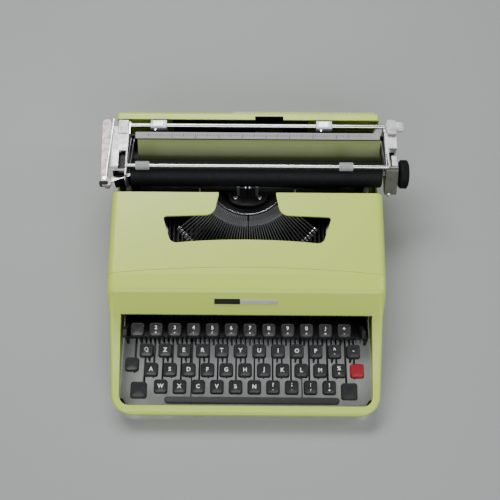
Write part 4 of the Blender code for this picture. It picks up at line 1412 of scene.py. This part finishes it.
def ribbon():
    """Two wound rolls that turn with their spools."""
    made = []
    for side in ("left", "right"):
        node = "ribbon_spool_" + side
        low, high = limits(node)
        centre = ((low.x + high.x) / 2, (low.y + high.y) / 2)
        radius = (high.x - low.x) / 2
        flange = [
            (low.z, radius - 0.6),
            (low.z + 0.4, radius),
            (low.z + 1.0, radius),
            (low.z + 1.2, radius - 0.8),
        ]
        roll = [(low.z + 1.2, 14.0), (low.z + 1.5, 15.0), (high.z - 1.5, 15.0), (high.z - 1.2, 14.0)]
        lid = [
            (high.z - 1.2, radius - 0.8),
            (high.z - 1.0, radius),
            (high.z - 0.4, radius),
            (high.z, radius - 0.6),
        ]
        nut = [(high.z - 1, 3.5), (high.z + 1.5, 3.5), (high.z + 2, 3.0)]
        parts = [
            turned("flange", "Z", centre, flange, 56, "dark_steel"),
            turned("roll", "Z", centre, roll, 56, "ribbon_cloth"),
            turned("lid", "Z", centre, lid, 56, "dark_steel"),
            turned("nut", "Z", centre, nut, 6, "bright_steel"),
        ]
        piece = smooth(gather(node + "_wound", parts), 35.0)
        made.append(settle(piece, "spool_" + side, "blackened_steel", node))
    return made


def chassis_detail():
    """Comb teeth that guide the key levers, side screws and pale guide pins."""
    low, high = limits("chassis")
    comb_y = (low.y - 0.4, low.y + 1.6)
    first = limits("margin_release_key")
    start = (first[0].x + first[1].x) / 2 - SLOT_PITCH / 2
    tooth = block("comb_teeth", (start - 0.6, start + 0.6), comb_y, (14.0, 29.0))
    soften(tooth, 0.25, 1)
    repeated(tooth, COMB_TEETH, "dark_steel", step=(SLOT_PITCH, 0, 0))
    parts = [tooth]
    for side in (-1, 1):
        centre = (side * (high.x - 4), COVER_REAR + 17.6)
        profile = [(60.0, 3.2), (63.9, 3.2), (64.6, 2.6), (64.9, 1.4)]
        parts.append(smooth(turned("pin", "Z", centre, profile, 32, "cream_pin"), 40.0))
        for y in (COVER_REAR - 60, COVER_REAR - 20, COVER_REAR + 30):
            parts.append(screw((side * 110.0, y), 8.0, 3.0))
    return settle(gather("lever_comb", parts), "root", "black_enamel")


# Carriage


def end_outline(front, rear, top, inset, slope):
    return fillet([
        (front + inset, FRAME_LOW.z, 0),
        (rear - inset, FRAME_LOW.z, 0),
        (rear - inset, top - inset, 3),
        (front + slope, top - inset, 6),
        (front + inset, top - 10 - inset, 3),
    ])


LEFT_IN, LEFT_OUT = PLATEN_LOW.x - 0.3, FRAME_LOW.x
RIGHT_IN, RIGHT_OUT = PLATEN_HIGH.x - 14.7, FRAME_HIGH.x
CARRIAGE_FRONT = PLATEN_Y - PLATEN_RADIUS
LEFT_TOP = 93.0


def from_left_end(*points):
    """Places measured from the left casting's inner face and the platen's axis."""
    return [(LEFT_IN + x, PLATEN_Y + y) for x, y in points]


def left_end():
    """Hollow casting with a window, a ribbed button, a bracket and its front plate."""
    rear = RAIL_Y + 1
    profile = end_outline(CARRIAGE_FRONT, rear, LEFT_TOP, 0, 13)
    casting = prism("casting", "X", profile, LEFT_OUT, LEFT_IN, "cast_metal")
    plan = from_left_end(
        (-16.69, 62), (-17.49, 22), (-17.09, 0), (-14.09, -9.5), (-2.09, -12.5), (0.01, -9), (0.01, 62)
    )
    combine(casting, "INTERSECT", prism("plan", "Z", plan, 60.0, 100.0))
    inside = end_outline(CARRIAGE_FRONT - 20, rear - 3, LEFT_TOP - 2.4, 0, 16)
    cut(casting, prism("hollow", "X", inside, LEFT_OUT + 3.6, LEFT_IN - 2.6))
    window_x = (LEFT_IN - 9.19, LEFT_IN - 1.69)
    cut(casting, block("window", window_x, (PLATEN_Y - 2.9, PLATEN_Y + 19.3), (80, HIGH)))
    parts = [soften(casting, 0.8, 3)]
    lining_x = (LEFT_IN - 10.59, LEFT_IN - 1.0)
    lining = block("lining", lining_x, (PLATEN_Y - 5, PLATEN_Y + 21), (84, 87), "black_enamel")
    parts.append(soften(lining, 0.3, 1))
    strut_x, strut_y = (LEFT_IN - 1.59, LEFT_IN - 0.19), (PLATEN_Y - 10.5, PLATEN_Y + 19)
    strut = block("strut", strut_x, strut_y, (86, LEFT_TOP - 0.4), "cast_metal")
    parts.append(soften(strut, 0.3, 2))
    button_x, button_y = (LEFT_IN - 11.99, LEFT_IN - 0.89), (RAIL_Y - 11.4, RAIL_Y + 5.7)
    button = block("button", button_x, button_y, (LEFT_TOP - 1, LEFT_TOP + 1.2), "cast_metal")
    parts.append(soften(button, 0.7, 3))
    ridge_x, ridge_y = (LEFT_IN - 10.69, LEFT_IN - 2.09), (RAIL_Y - 10.4, RAIL_Y - 9.7)
    ridge = block("ridge", ridge_x, ridge_y, (LEFT_TOP + 0.9, LEFT_TOP + 1.6))
    soften(ridge, 0.2, 1)
    parts.append(repeated(ridge, 11, "cast_metal", step=(0, 1.35, 0)))
    bracket_x, bracket_y = (LEFT_IN - 0.29, LEFT_IN + 1.51), (RAIL_Y - 12.7, RAIL_Y + 3.0)
    bracket = block("bracket", bracket_x, bracket_y, (80, LEFT_TOP + 1.6), "bright_steel")
    parts.append(soften(bracket, 0.4, 2))
    wing = from_left_end(
        (-16.49, -15.2), (5.31, -6.4), (5.71, -4.4), (-0.39, -5), (-1.89, -10.5), (-14.09, -9), (-16.69, -10)
    )
    parts.append(soften(prism("wing", "Z", wing, 84.0, 85.4, "cast_metal"), 0.3, 2))
    edge = from_left_end((-16.29, -15.8), (5.51, -7.1), (5.31, -6.0), (-16.29, -14.6))
    parts.append(soften(prism("edge", "Z", edge, 84.4, 86.0, "bright_steel"), 0.3, 2))
    cheek = from_left_end((-14.09, -13), (5.91, -4.6), (5.91, 2), (-14.09, 2))
    parts.append(soften(prism("cheek", "Z", cheek, 67.0, 83.8, "black_enamel"), 0.5, 2))
    return parts


def right_end():
    """Hollow sleeve with a sloping front, a slot for the paper release and a bright tip."""
    rear = RAIL_Y - 6.5
    sleeve = fillet([
        (CARRIAGE_FRONT, 66.0, 0),
        (rear, 66.0, 0),
        (rear, 94.0, 2),
        (PLATEN_Y - 2, 94.0, 7),
        (CARRIAGE_FRONT - 6, 70.0, 1),
    ], step=8.0)
    right = prism("right", "X", sleeve, RIGHT_IN, RIGHT_OUT, "cast_metal")
    inner = [(y + (1.6 if y < PLATEN_Y else -1.6), z - 2.2) for y, z in sleeve]
    cut(right, prism("hollow", "X", inner, RIGHT_IN + 3, RIGHT_OUT - 2.2))
    bore = [(RIGHT_IN - 5, 3.9), (RIGHT_OUT + 5, 3.9)]
    cut(right, turned("bore", "X", (PLATEN_Y, PLATEN_Z), bore, 40))
    slot_y = (PLATEN_Y + 0.4, PLATEN_Y + 23.5)
    cut(right, block("slot", (RIGHT_IN + 3.5, RIGHT_OUT + 1), slot_y, (83.0, HIGH)))
    soften(right, 0.6, 3)
    right.data.materials.append(finish("dull_cover"))
    for face in right.data.polygons:
        middle = face.center / MM
        if middle.y < PLATEN_Y - 0.5:
            face.material_index = 1
    filler_x = (RIGHT_IN + 3.6, RIGHT_OUT - 2.4)
    filler = block("filler", filler_x, (PLATEN_Y + 15.5, PLATEN_Y + 23), (82.5, 86), "black_enamel")
    tail_x = (RIGHT_IN, RIGHT_IN + 3)
    tail = block("tail", tail_x, (RAIL_Y - 8, RAIL_Y + 3), (66, RAIL_Z), "cast_metal")
    tip_profile = [(67.0, 1.6), (70.5, 1.6), (71.3, 1.0)]
    tip_place = (RIGHT_IN + 4.5, CARRIAGE_FRONT - 5.4)
    tip = turned("tip", "Z", tip_place, tip_profile, 20, "bright_steel")
    return [right, filler, soften(tail, 0.4, 2), smooth(tip)]


def carriage_frame():
    """Base and back wall between the left casting and the right end cover."""
    wide = (LEFT_IN - 1, RIGHT_IN + 1)
    pan_y = (PLATEN_Y + PLATEN_RADIUS + 4.1, RAIL_Y - 2)
    pan = block("pan", wide, pan_y, (66.0, 68.5), "black_enamel")
    back = block("back", wide, (RAIL_Y - 10.5, RAIL_Y - 8.5), (67.0, RAIL_Z - 4), "black_enamel")
    parts = [soften(pan, 0.4, 2), soften(back, 0.4, 2), *left_end(), *right_end()]
    return settle(gather("carriage_ends_and_base", parts), "carriage", "grey_casting", "carriage_frame")


def margin_rail():
    """Bright rail with rolled ends."""
    x0, x1 = RAIL_LOW.x, RAIL_HIGH.x
    r = (RAIL_HIGH.z - RAIL_LOW.z) / 2
    profile = [(x0, r - 0.5), (x0 + 0.5, r), (x1 - 0.5, r), (x1, r - 0.5)]
    rail = smooth(turned("margin_rail_tube", "X", (RAIL_Y, RAIL_Z), profile, 48, "bright_steel"), 50)
    return settle(rail, "carriage", "bright_steel", "margin_rail")


def margin_stops():
    """Two riders with ribbed tops and a small pointer to the scale."""
    made = []
    for side in ("left", "right"):
        node = "margin_stop_" + side
        low, high = limits(node)
        body = refined("rider", node, "stop_metal", 0.6, 3)
        ridge_y = (low.y + 2.2, high.y - 2.2)
        ridge = block("ridge", (low.x + 3, low.x + 3.7), ridge_y, (high.z - 0.2, high.z + 0.35))
        soften(ridge, 0.15, 1)
        repeated(ridge, 8, "bright_steel", step=(1.35, 0, 0))
        x = (low.x + high.x) / 2 - 3.5
        pointer = prism("pointer", "Z", [
            (x - 1.3, low.y + 0.4), (x + 1.3, low.y + 0.4), (x + 0.5, low.y - 2.6), (x - 0.5, low.y - 2.6),
        ], high.z - 2.6, high.z - 1.8, "bright_steel")
        soften(pointer, 0.2, 1)
        piece = gather(node + "_rider", [body, ridge, pointer])
        made.append(settle(piece, node, "grey_casting", node))
    return made


def platen():
    """Ground rubber roller on a steel core."""
    x0, x1 = PLATEN_LOW.x, PLATEN_HIGH.x
    left, right = x0 + 3.7, FRAME_HIGH.x - 14.4 - 2.3
    r = PLATEN_RADIUS
    chamfer = ((0.0, 1.2), (0.2, 0.5), (0.7, 0.0))
    profile = [(left + inward, r - drop_by) for inward, drop_by in chamfer]
    profile += [(right - inward, r - drop_by) for inward, drop_by in reversed(chamfer)]
    gum = smooth(turned("gum", "X", (PLATEN_Y, PLATEN_Z), profile, 96, "rubber"), 50)
    core = [(x0, 3.1), (x0 + 0.3, 3.4), (x1 - 0.3, 3.4), (x1, 3.1)]
    shaft = smooth(turned("shaft", "X", (PLATEN_Y, PLATEN_Z), core, 40, "dark_steel"), 50)
    return settle(gather("platen_roller", [gum, shaft]), "platen", "platen_rubber", "platen")


def platen_knob():
    """Black knob with a ribbed edge and a dished face."""
    low, high = limits("platen_knob")
    r = (high.z - low.z) / 2
    profile = [
        (low.x, r - 2.4),
        (low.x + 0.9, r - 1.0),
        (low.x + 2.2, r - 0.55),
        (high.x - 2.2, r - 0.55),
        (high.x - 0.9, r - 1.2),
        (high.x - 0.2, r - 2.4),
        (high.x, r - 3.4),
        (high.x - 0.6, r - 4.6),
        (high.x - 1.0, 1.2),
    ]
    body = smooth(turned("body", "X", (PLATEN_Y, PLATEN_Z), profile, 96, "rubber"), 60)
    rib_y = (PLATEN_Y - 0.34, PLATEN_Y + 0.34)
    rib_z = (PLATEN_Z + r - 1.0, PLATEN_Z + r - 0.02)
    rib = block("rib", (low.x + 1.6, high.x - 1.4), rib_y, rib_z)
    soften(rib, 0.3, 2)
    ribs = repeated(rib, 60, "rubber", turn=(math.tau / 60, 0, 0), about=(0, PLATEN_Y, PLATEN_Z))
    return settle(gather("platen_knob_ribbed", [body, ribs]), "platen", "knob_plastic", "platen_knob")


def paper_bail():
    """Bright rod, two knurled rollers and two spring arms."""
    low, high = limits("paper_bail")
    y = PLATEN_Y - (PLATEN_RADIUS + 5.1) * math.sin(math.radians(7.5))
    z = PLATEN_Z + (PLATEN_RADIUS + 5.1) * math.cos(math.radians(7.5))
    rod = size("bail_rod")
    profile = [(low.x + 0.2, rod - 0.3), (low.x + 0.6, rod), (high.x - 0.6, rod), (high.x - 0.2, rod - 0.3)]
    parts = [smooth(turned("rod", "X", (y, z), profile, 40, "bright_steel"), 50)]
    for x in (-BODY_HALF + 29.8, BODY_HALF - 37.0):
        r = 4.35
        chamfer = ((7.5, 1.4), (7.3, 0.5), (6.8, 0.0))
        shape = [(x - reach, r - drop_by) for reach, drop_by in chamfer]
        shape += [(x + reach, r - drop_by) for reach, drop_by in reversed(chamfer)]
        parts.append(smooth(turned("roller", "X", (y, z), shape, 60, "pale_rubber"), 50))
        rib = block("rib", (x - 6.6, x + 6.6), (y - 0.17, y + 0.17), (z + r - 0.3, z + r + 0.2))
        parts.append(repeated(rib, 40, "pale_rubber", turn=(math.tau / 40, 0, 0), about=(0, y, z)))
    pivot = (RAIL_Y - 13.0, RAIL_Z - 8.0)
    slope = math.degrees(math.atan2(z - pivot[1], y - pivot[0]))
    outline = arc((y, z), 2.0, slope - 90, slope + 90, 12) + arc(pivot, 2.2, slope + 90, slope + 270, 12)
    outer_arms = ((low.x + 0.1, low.x + 1.4), (high.x - 1.3, high.x - 0.1))
    inner_arms = ((low.x + 3.5, low.x + 4.5), (high.x - 4.7, high.x - 3.7))
    for x0, x1 in outer_arms[:1] + inner_arms + outer_arms[1:]:
        parts.append(soften(prism("arm", "X", outline, x0, x1, "bright_steel"), 0.3, 2))
    return settle(gather("paper_bail_rod", parts), "paper_bail", "bright_steel", "paper_bail")


def paper_table():
    """Curved green sheet behind the platen."""
    low, high = limits("paper_table")
    top = (SCALE_LOW.y + 0.2, RAIL_Z - 0.8)
    foot = (low.y, low.z + 1.0)
    face, back = [], []
    for i in range(25):
        share = i / 24
        y = foot[0] + (top[0] - foot[0]) * share
        z = foot[1] + (top[1] - foot[1]) * share - 6.4 * share * (1 - share)
        face.append((y, z))
        back.append((y + 1.0, z - 0.95))
    sheet = prism("paper_table_sheet", "X", face + back[::-1], low.x, high.x, "table_enamel")
    return settle(soften(sheet, 0.4, 2), "carriage", "olive_paint", "paper_table")


def scale_point(share, rise=0.0):
    """A place across the scale's sloping face, from its front edge to its rear."""
    y = SCALE_LOW.y + 0.1 + (SCALE_HIGH.y - SCALE_LOW.y - 0.6) * share
    z = SCALE_LOW.z + 1.4 + (SCALE_HIGH.z - SCALE_LOW.z - 1.4) * share + rise
    return y, z


def line_scale():
    """Brushed strip with ticks and tens, like a ruler."""
    body = refined("strip", "line_scale", "scale_metal", 0.3, 2)
    x0 = SCALE_LOW.x + 14.0
    pitch = size("tick_pitch")
    count = int((SCALE_HIGH.x - 8 - x0) / pitch)

    def tick(name, start, end, wide):
        (y0, z0), (y1, z1) = scale_point(start, 0.03), scale_point(end, 0.03)
        outline = [(y0, z0 - 0.4), (y1, z1 - 0.4), (y1, z1), (y0, z0)]
        return prism(name, "X", outline, x0 - wide / 2, x0 + wide / 2)

    short = repeated(tick("short", 0.42, 0.72, 0.42), count, "ink", step=(pitch, 0, 0))
    tall = repeated(tick("tall", 0.30, 0.78, 0.6), count // 5, "ink", step=(pitch * 5, 0, 0))
    parts = [body, short, tall]
    lean = math.atan2(SCALE_HIGH.z - SCALE_LOW.z - 1.4, SCALE_HIGH.y - SCALE_LOW.y - 0.6)
    y, z = scale_point(0.1, 0.05)
    for i in range(1, count // 10):
        parts.append(sign(str(i * 10), (x0 + i * 10 * pitch, y, z), 2.0, lean, "ink"))
    return settle(gather("line_scale_strip", parts), "carriage", "scale_metal", "line_scale")


def sign(text, place, tall, lean, look):
    """A small flat number, leaning about X and standing on its foot."""
    curve = bpy.data.curves.new("sign", "FONT")
    curve.body = text
    curve.size = tall * MM
    curve.align_x = "CENTER"
    curve.extrude = 0.04 * MM
    curve.resolution_u = 2
    holder = bpy.data.objects.new("sign", curve)
    bpy.context.scene.collection.objects.link(holder)
    graph = bpy.context.evaluated_depsgraph_get()
    mesh = bpy.data.meshes.new_from_object(holder.evaluated_get(graph))
    bpy.data.objects.remove(holder)
    bpy.data.curves.remove(curve)
    mesh.transform(Matrix.Translation(put(*place)) @ Matrix.Rotation(lean, 4, "X"))
    mesh.materials.clear()
    return new_piece("sign", mesh, look)


def paper_support():
    """Thin folded blade behind the scale."""
    y, z = RAIL_Y - 13.0, RAIL_Z + 2.0
    blade = block("blade", (4.0, 101.0), (y - 0.6, y + 1.6), (z - 0.4, z + 0.4), "cast_metal")
    arm_plan = [(-8.0, y + 1.6), (-7.0, y - 0.4), (9.0, y - 3.4), (9.0, y - 1.6)]
    arm = prism("arm", "Z", arm_plan, z - 0.4, z + 0.3, "cast_metal")
    whole = gather("paper_support_blade", [soften(blade, 0.3, 2), soften(arm, 0.3, 2)])
    return settle(whole, "carriage", "grey_casting")


def return_lever():
    """Grey paddle with a bright inner flange, a pivot pin and a dark tip."""
    low, high = limits("return_lever")
    paddle = refined("paddle", "return_lever", "paddle_paint", 0.9, 3)
    flange_plan = (
        (-1.99, 59.4),
        (-3.29, 27.5),
        (-4.79, 2.1),
        (-4.99, -16.0),
        (-5.99, -16.0),
        (-5.89, 2.1),
        (-4.49, 27.5),
        (-3.39, 59.4),
    )
    outline = [(high.x + x, PLATEN_Y + y) for x, y in flange_plan]
    flange = prism("flange", "Z", outline, high.z - 1.0, high.z + 1.2, "bright_steel")
    soften(flange, 0.35, 2)
    grip_plan = rounded_box((low.x + 7.4, low.y + 2.9), (9.6, 4.8), 1.6)
    grip = prism("grip", "Z", grip_plan, high.z - 5.6, high.z + 0.4, "rubber")
    soften(grip, 0.6, 3)
    head = screw((low.x + 8.0, low.y + 8.4), high.z, 2.6, "bright_steel")
    whole = gather("return_lever_paddle", [paddle, flange, grip, head])
    return settle(whole, "return_lever", "bright_steel", "return_lever")


def small_levers():
    """Carriage release and paper release."""
    release = refined("carriage_release_thumb", "carriage_release_lever", "cast_metal", 0.6, 3)
    settle(release, "carriage_release", "bright_steel", "carriage_release_lever")
    paper = refined("paper_release_thumb", "paper_release_lever", "cast_metal", 0.7, 3)
    settle(paper, "paper_release", "bright_steel", "paper_release_lever")
    return release, paper


# Stage

CAMERA_LIFT, CAMERA_SWING, CAMERA_ROLL = 65.0, 0.306, 0.142
CAMERA_TARGET = (3.13, 5.6, 60.0)
CAMERA_AWAY = 0.9
CAMERA_LENS = 61.28
SKY = (0.86, 0.92, 0.96, 1.0)
SKY_STRENGTH = 0.16
FLOOR_HALF = 3.0


def camera_place():
    """A camera far above the typist's head, looking steeply down."""
    lift, swing, roll = (math.radians(angle) for angle in (CAMERA_LIFT, CAMERA_SWING, CAMERA_ROLL))
    target = put(*CAMERA_TARGET)
    back = Vector((math.sin(swing) * math.cos(lift), -math.cos(swing) * math.cos(lift), math.sin(lift)))
    across = Vector((0, 0, 1)).cross(back).normalized()
    up = back.cross(across)
    right = across * math.cos(roll) + up * math.sin(roll)
    above = up * math.cos(roll) - across * math.sin(roll)
    turn = Matrix((right, above, back)).transposed().to_4x4()
    return Matrix.Translation(target + back * CAMERA_AWAY) @ turn


def add_camera():
    data = bpy.data.cameras.new("camera")
    data.lens = CAMERA_LENS
    data.sensor_width = 36.0
    camera = bpy.data.objects.new("camera", data)
    camera.matrix_world = camera_place()
    bpy.context.scene.collection.objects.link(camera)
    bpy.context.scene.camera = camera
    return camera


def area_light(name, place, target, wide, power, shade=(1.0, 1.0, 1.0)):
    """A rectangular lamp in metres and watts, turned to its target."""
    data = bpy.data.lights.new(name, "AREA")
    data.shape = "RECTANGLE"
    data.size, data.size_y = wide
    data.energy = power
    data.color = shade
    light = bpy.data.objects.new(name, data)
    light.location = place
    light.rotation_euler = (Vector(target) - Vector(place)).to_track_quat("-Z", "Y").to_euler()
    bpy.context.scene.collection.objects.link(light)
    return light


def add_stage():
    """Floor, lamps and camera."""
    add_camera()
    bm = bmesh.new()
    bmesh.ops.create_grid(bm, x_segments=1, y_segments=1, size=FLOOR_HALF)
    mesh = bpy.data.meshes.new("floor")
    bm.to_mesh(mesh)
    bm.free()
    floor = new_piece("floor", mesh, "floor_paint")
    world = bpy.data.worlds.new("studio")
    world.use_nodes = True
    sky = world.node_tree.nodes["Background"].inputs
    sky["Color"].default_value = SKY
    sky["Strength"].default_value = SKY_STRENGTH
    bpy.context.scene.world = world
    area_light("window", (-0.30, 0.72, 1.36), (0.0, 0.03, 0.05), (1.3, 0.5), 23.5, (1.0, 0.99, 0.96))
    area_light("room", (0.0, -1.25, 1.05), (0.0, 0.0, 0.0), (1.8, 0.8), 18.0, (0.96, 0.98, 1.0))
    area_light("under_keys", (-0.005, -0.112, 0.012), (-0.005, -0.112, 0.0), (0.25, 0.075), 0.028)
    area_light("side", (1.2, 0.1, 0.9), (0.1, 0.0, 0.05), (0.12, 1.5), 5.0)
    return floor


# Operators, in the order in which they run


class TYPEWRITER_OT_stage(bpy.types.Operator):
    """Set up the floor, the lamps and the camera."""

    bl_idname = "typewriter.stage"
    bl_label = "Stage"

    def execute(self, context):
        add_stage()
        return {"FINISHED"}


class TYPEWRITER_OT_shells(bpy.types.Operator):
    """Make the housing, the cover, the feet and the badge."""

    bl_idname = "typewriter.shells"
    bl_label = "Shells"

    def execute(self, context):
        settle(housing_shell(), "root", "lime_paint", "lower_housing")
        settle(cover_shell(), "cover", "lime_paint", "top_cover")
        settle(rubber_feet(), "root", "platen_rubber")
        settle(badge(), "root", "bright_steel")
        settle(rear_ribs(), "root", "lime_paint")
        settle(bay_lining(), "root", "black_enamel")
        return {"FINISHED"}


class TYPEWRITER_OT_keys(bpy.types.Operator):
    """Make every key, the space bar and the two levers in the well."""

    bl_idname = "typewriter.keys"
    bl_label = "Keys"

    def execute(self, context):
        for node in LEGENDS:
            single_key(node)
        single_key("margin_release_key")
        single_key("shift_lock_key")
        single_key("tab_key", "red_plastic")
        number_keys()
        shift_pair()
        space_bar()
        well_levers()
        return {"FINISHED"}


class TYPEWRITER_OT_basket(bpy.types.Operator):
    """Make the type basket, the moving typebar, the guide and the ribbon."""

    bl_idname = "typewriter.basket"
    bl_label = "Type basket"

    def execute(self, context):
        type_basket()
        moving_typebar()
        type_guide()
        card_rail()
        ribbon()
        return {"FINISHED"}


class TYPEWRITER_OT_chassis(bpy.types.Operator):
    """Finish the chassis and add its comb, screws and pins."""

    bl_idname = "typewriter.chassis"
    bl_label = "Chassis"

    def execute(self, context):
        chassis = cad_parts["chassis"]
        chassis.data.materials.clear()
        chassis.data.materials.append(finish("black_enamel"))
        chassis_detail()
        return {"FINISHED"}


class TYPEWRITER_OT_carriage(bpy.types.Operator):
    """Make the carriage and everything that rides on it."""

    bl_idname = "typewriter.carriage"
    bl_label = "Carriage"

    def execute(self, context):
        carriage_frame()
        margin_rail()
        margin_stops()
        platen()
        platen_knob()
        paper_bail()
        paper_table()
        line_scale()
        paper_support()
        return_lever()
        small_levers()
        return {"FINISHED"}


class TYPEWRITER_PT_panel(bpy.types.Panel):
    """Lists the steps that dress the typewriter."""

    bl_label = "Typewriter"
    bl_idname = "TYPEWRITER_PT_panel"
    bl_space_type = "VIEW_3D"
    bl_region_type = "UI"
    bl_category = "Typewriter"

    def draw(self, context):
        column = self.layout.column()
        for step in STEPS:
            column.operator(step.bl_idname)
        for group in (context.scene.typewriter_sizes, context.scene.typewriter_colours):
            for name in group.bl_rna.properties.keys():
                if name not in {"rna_type", "name"}:
                    column.prop(group, name)


STEPS = (
    TYPEWRITER_OT_stage,
    TYPEWRITER_OT_shells,
    TYPEWRITER_OT_keys,
    TYPEWRITER_OT_basket,
    TYPEWRITER_OT_chassis,
    TYPEWRITER_OT_carriage,
)
CLASSES = (TYPEWRITER_PG_sizes, TYPEWRITER_PG_colours, *STEPS, TYPEWRITER_PT_panel)


def register():
    for item in CLASSES:
        bpy.utils.register_class(item)
    bpy.types.Scene.typewriter_sizes = bpy.props.PointerProperty(type=TYPEWRITER_PG_sizes)
    bpy.types.Scene.typewriter_colours = bpy.props.PointerProperty(type=TYPEWRITER_PG_colours)


def unregister():
    del bpy.types.Scene.typewriter_colours
    del bpy.types.Scene.typewriter_sizes
    for item in reversed(CLASSES):
        bpy.utils.unregister_class(item)


def main():
    register()
    bpy.ops.typewriter.stage()
    bpy.ops.typewriter.shells()
    bpy.ops.typewriter.keys()
    bpy.ops.typewriter.basket()
    bpy.ops.typewriter.chassis()
    bpy.ops.typewriter.carriage()


if __name__ == "__main__":
    main()
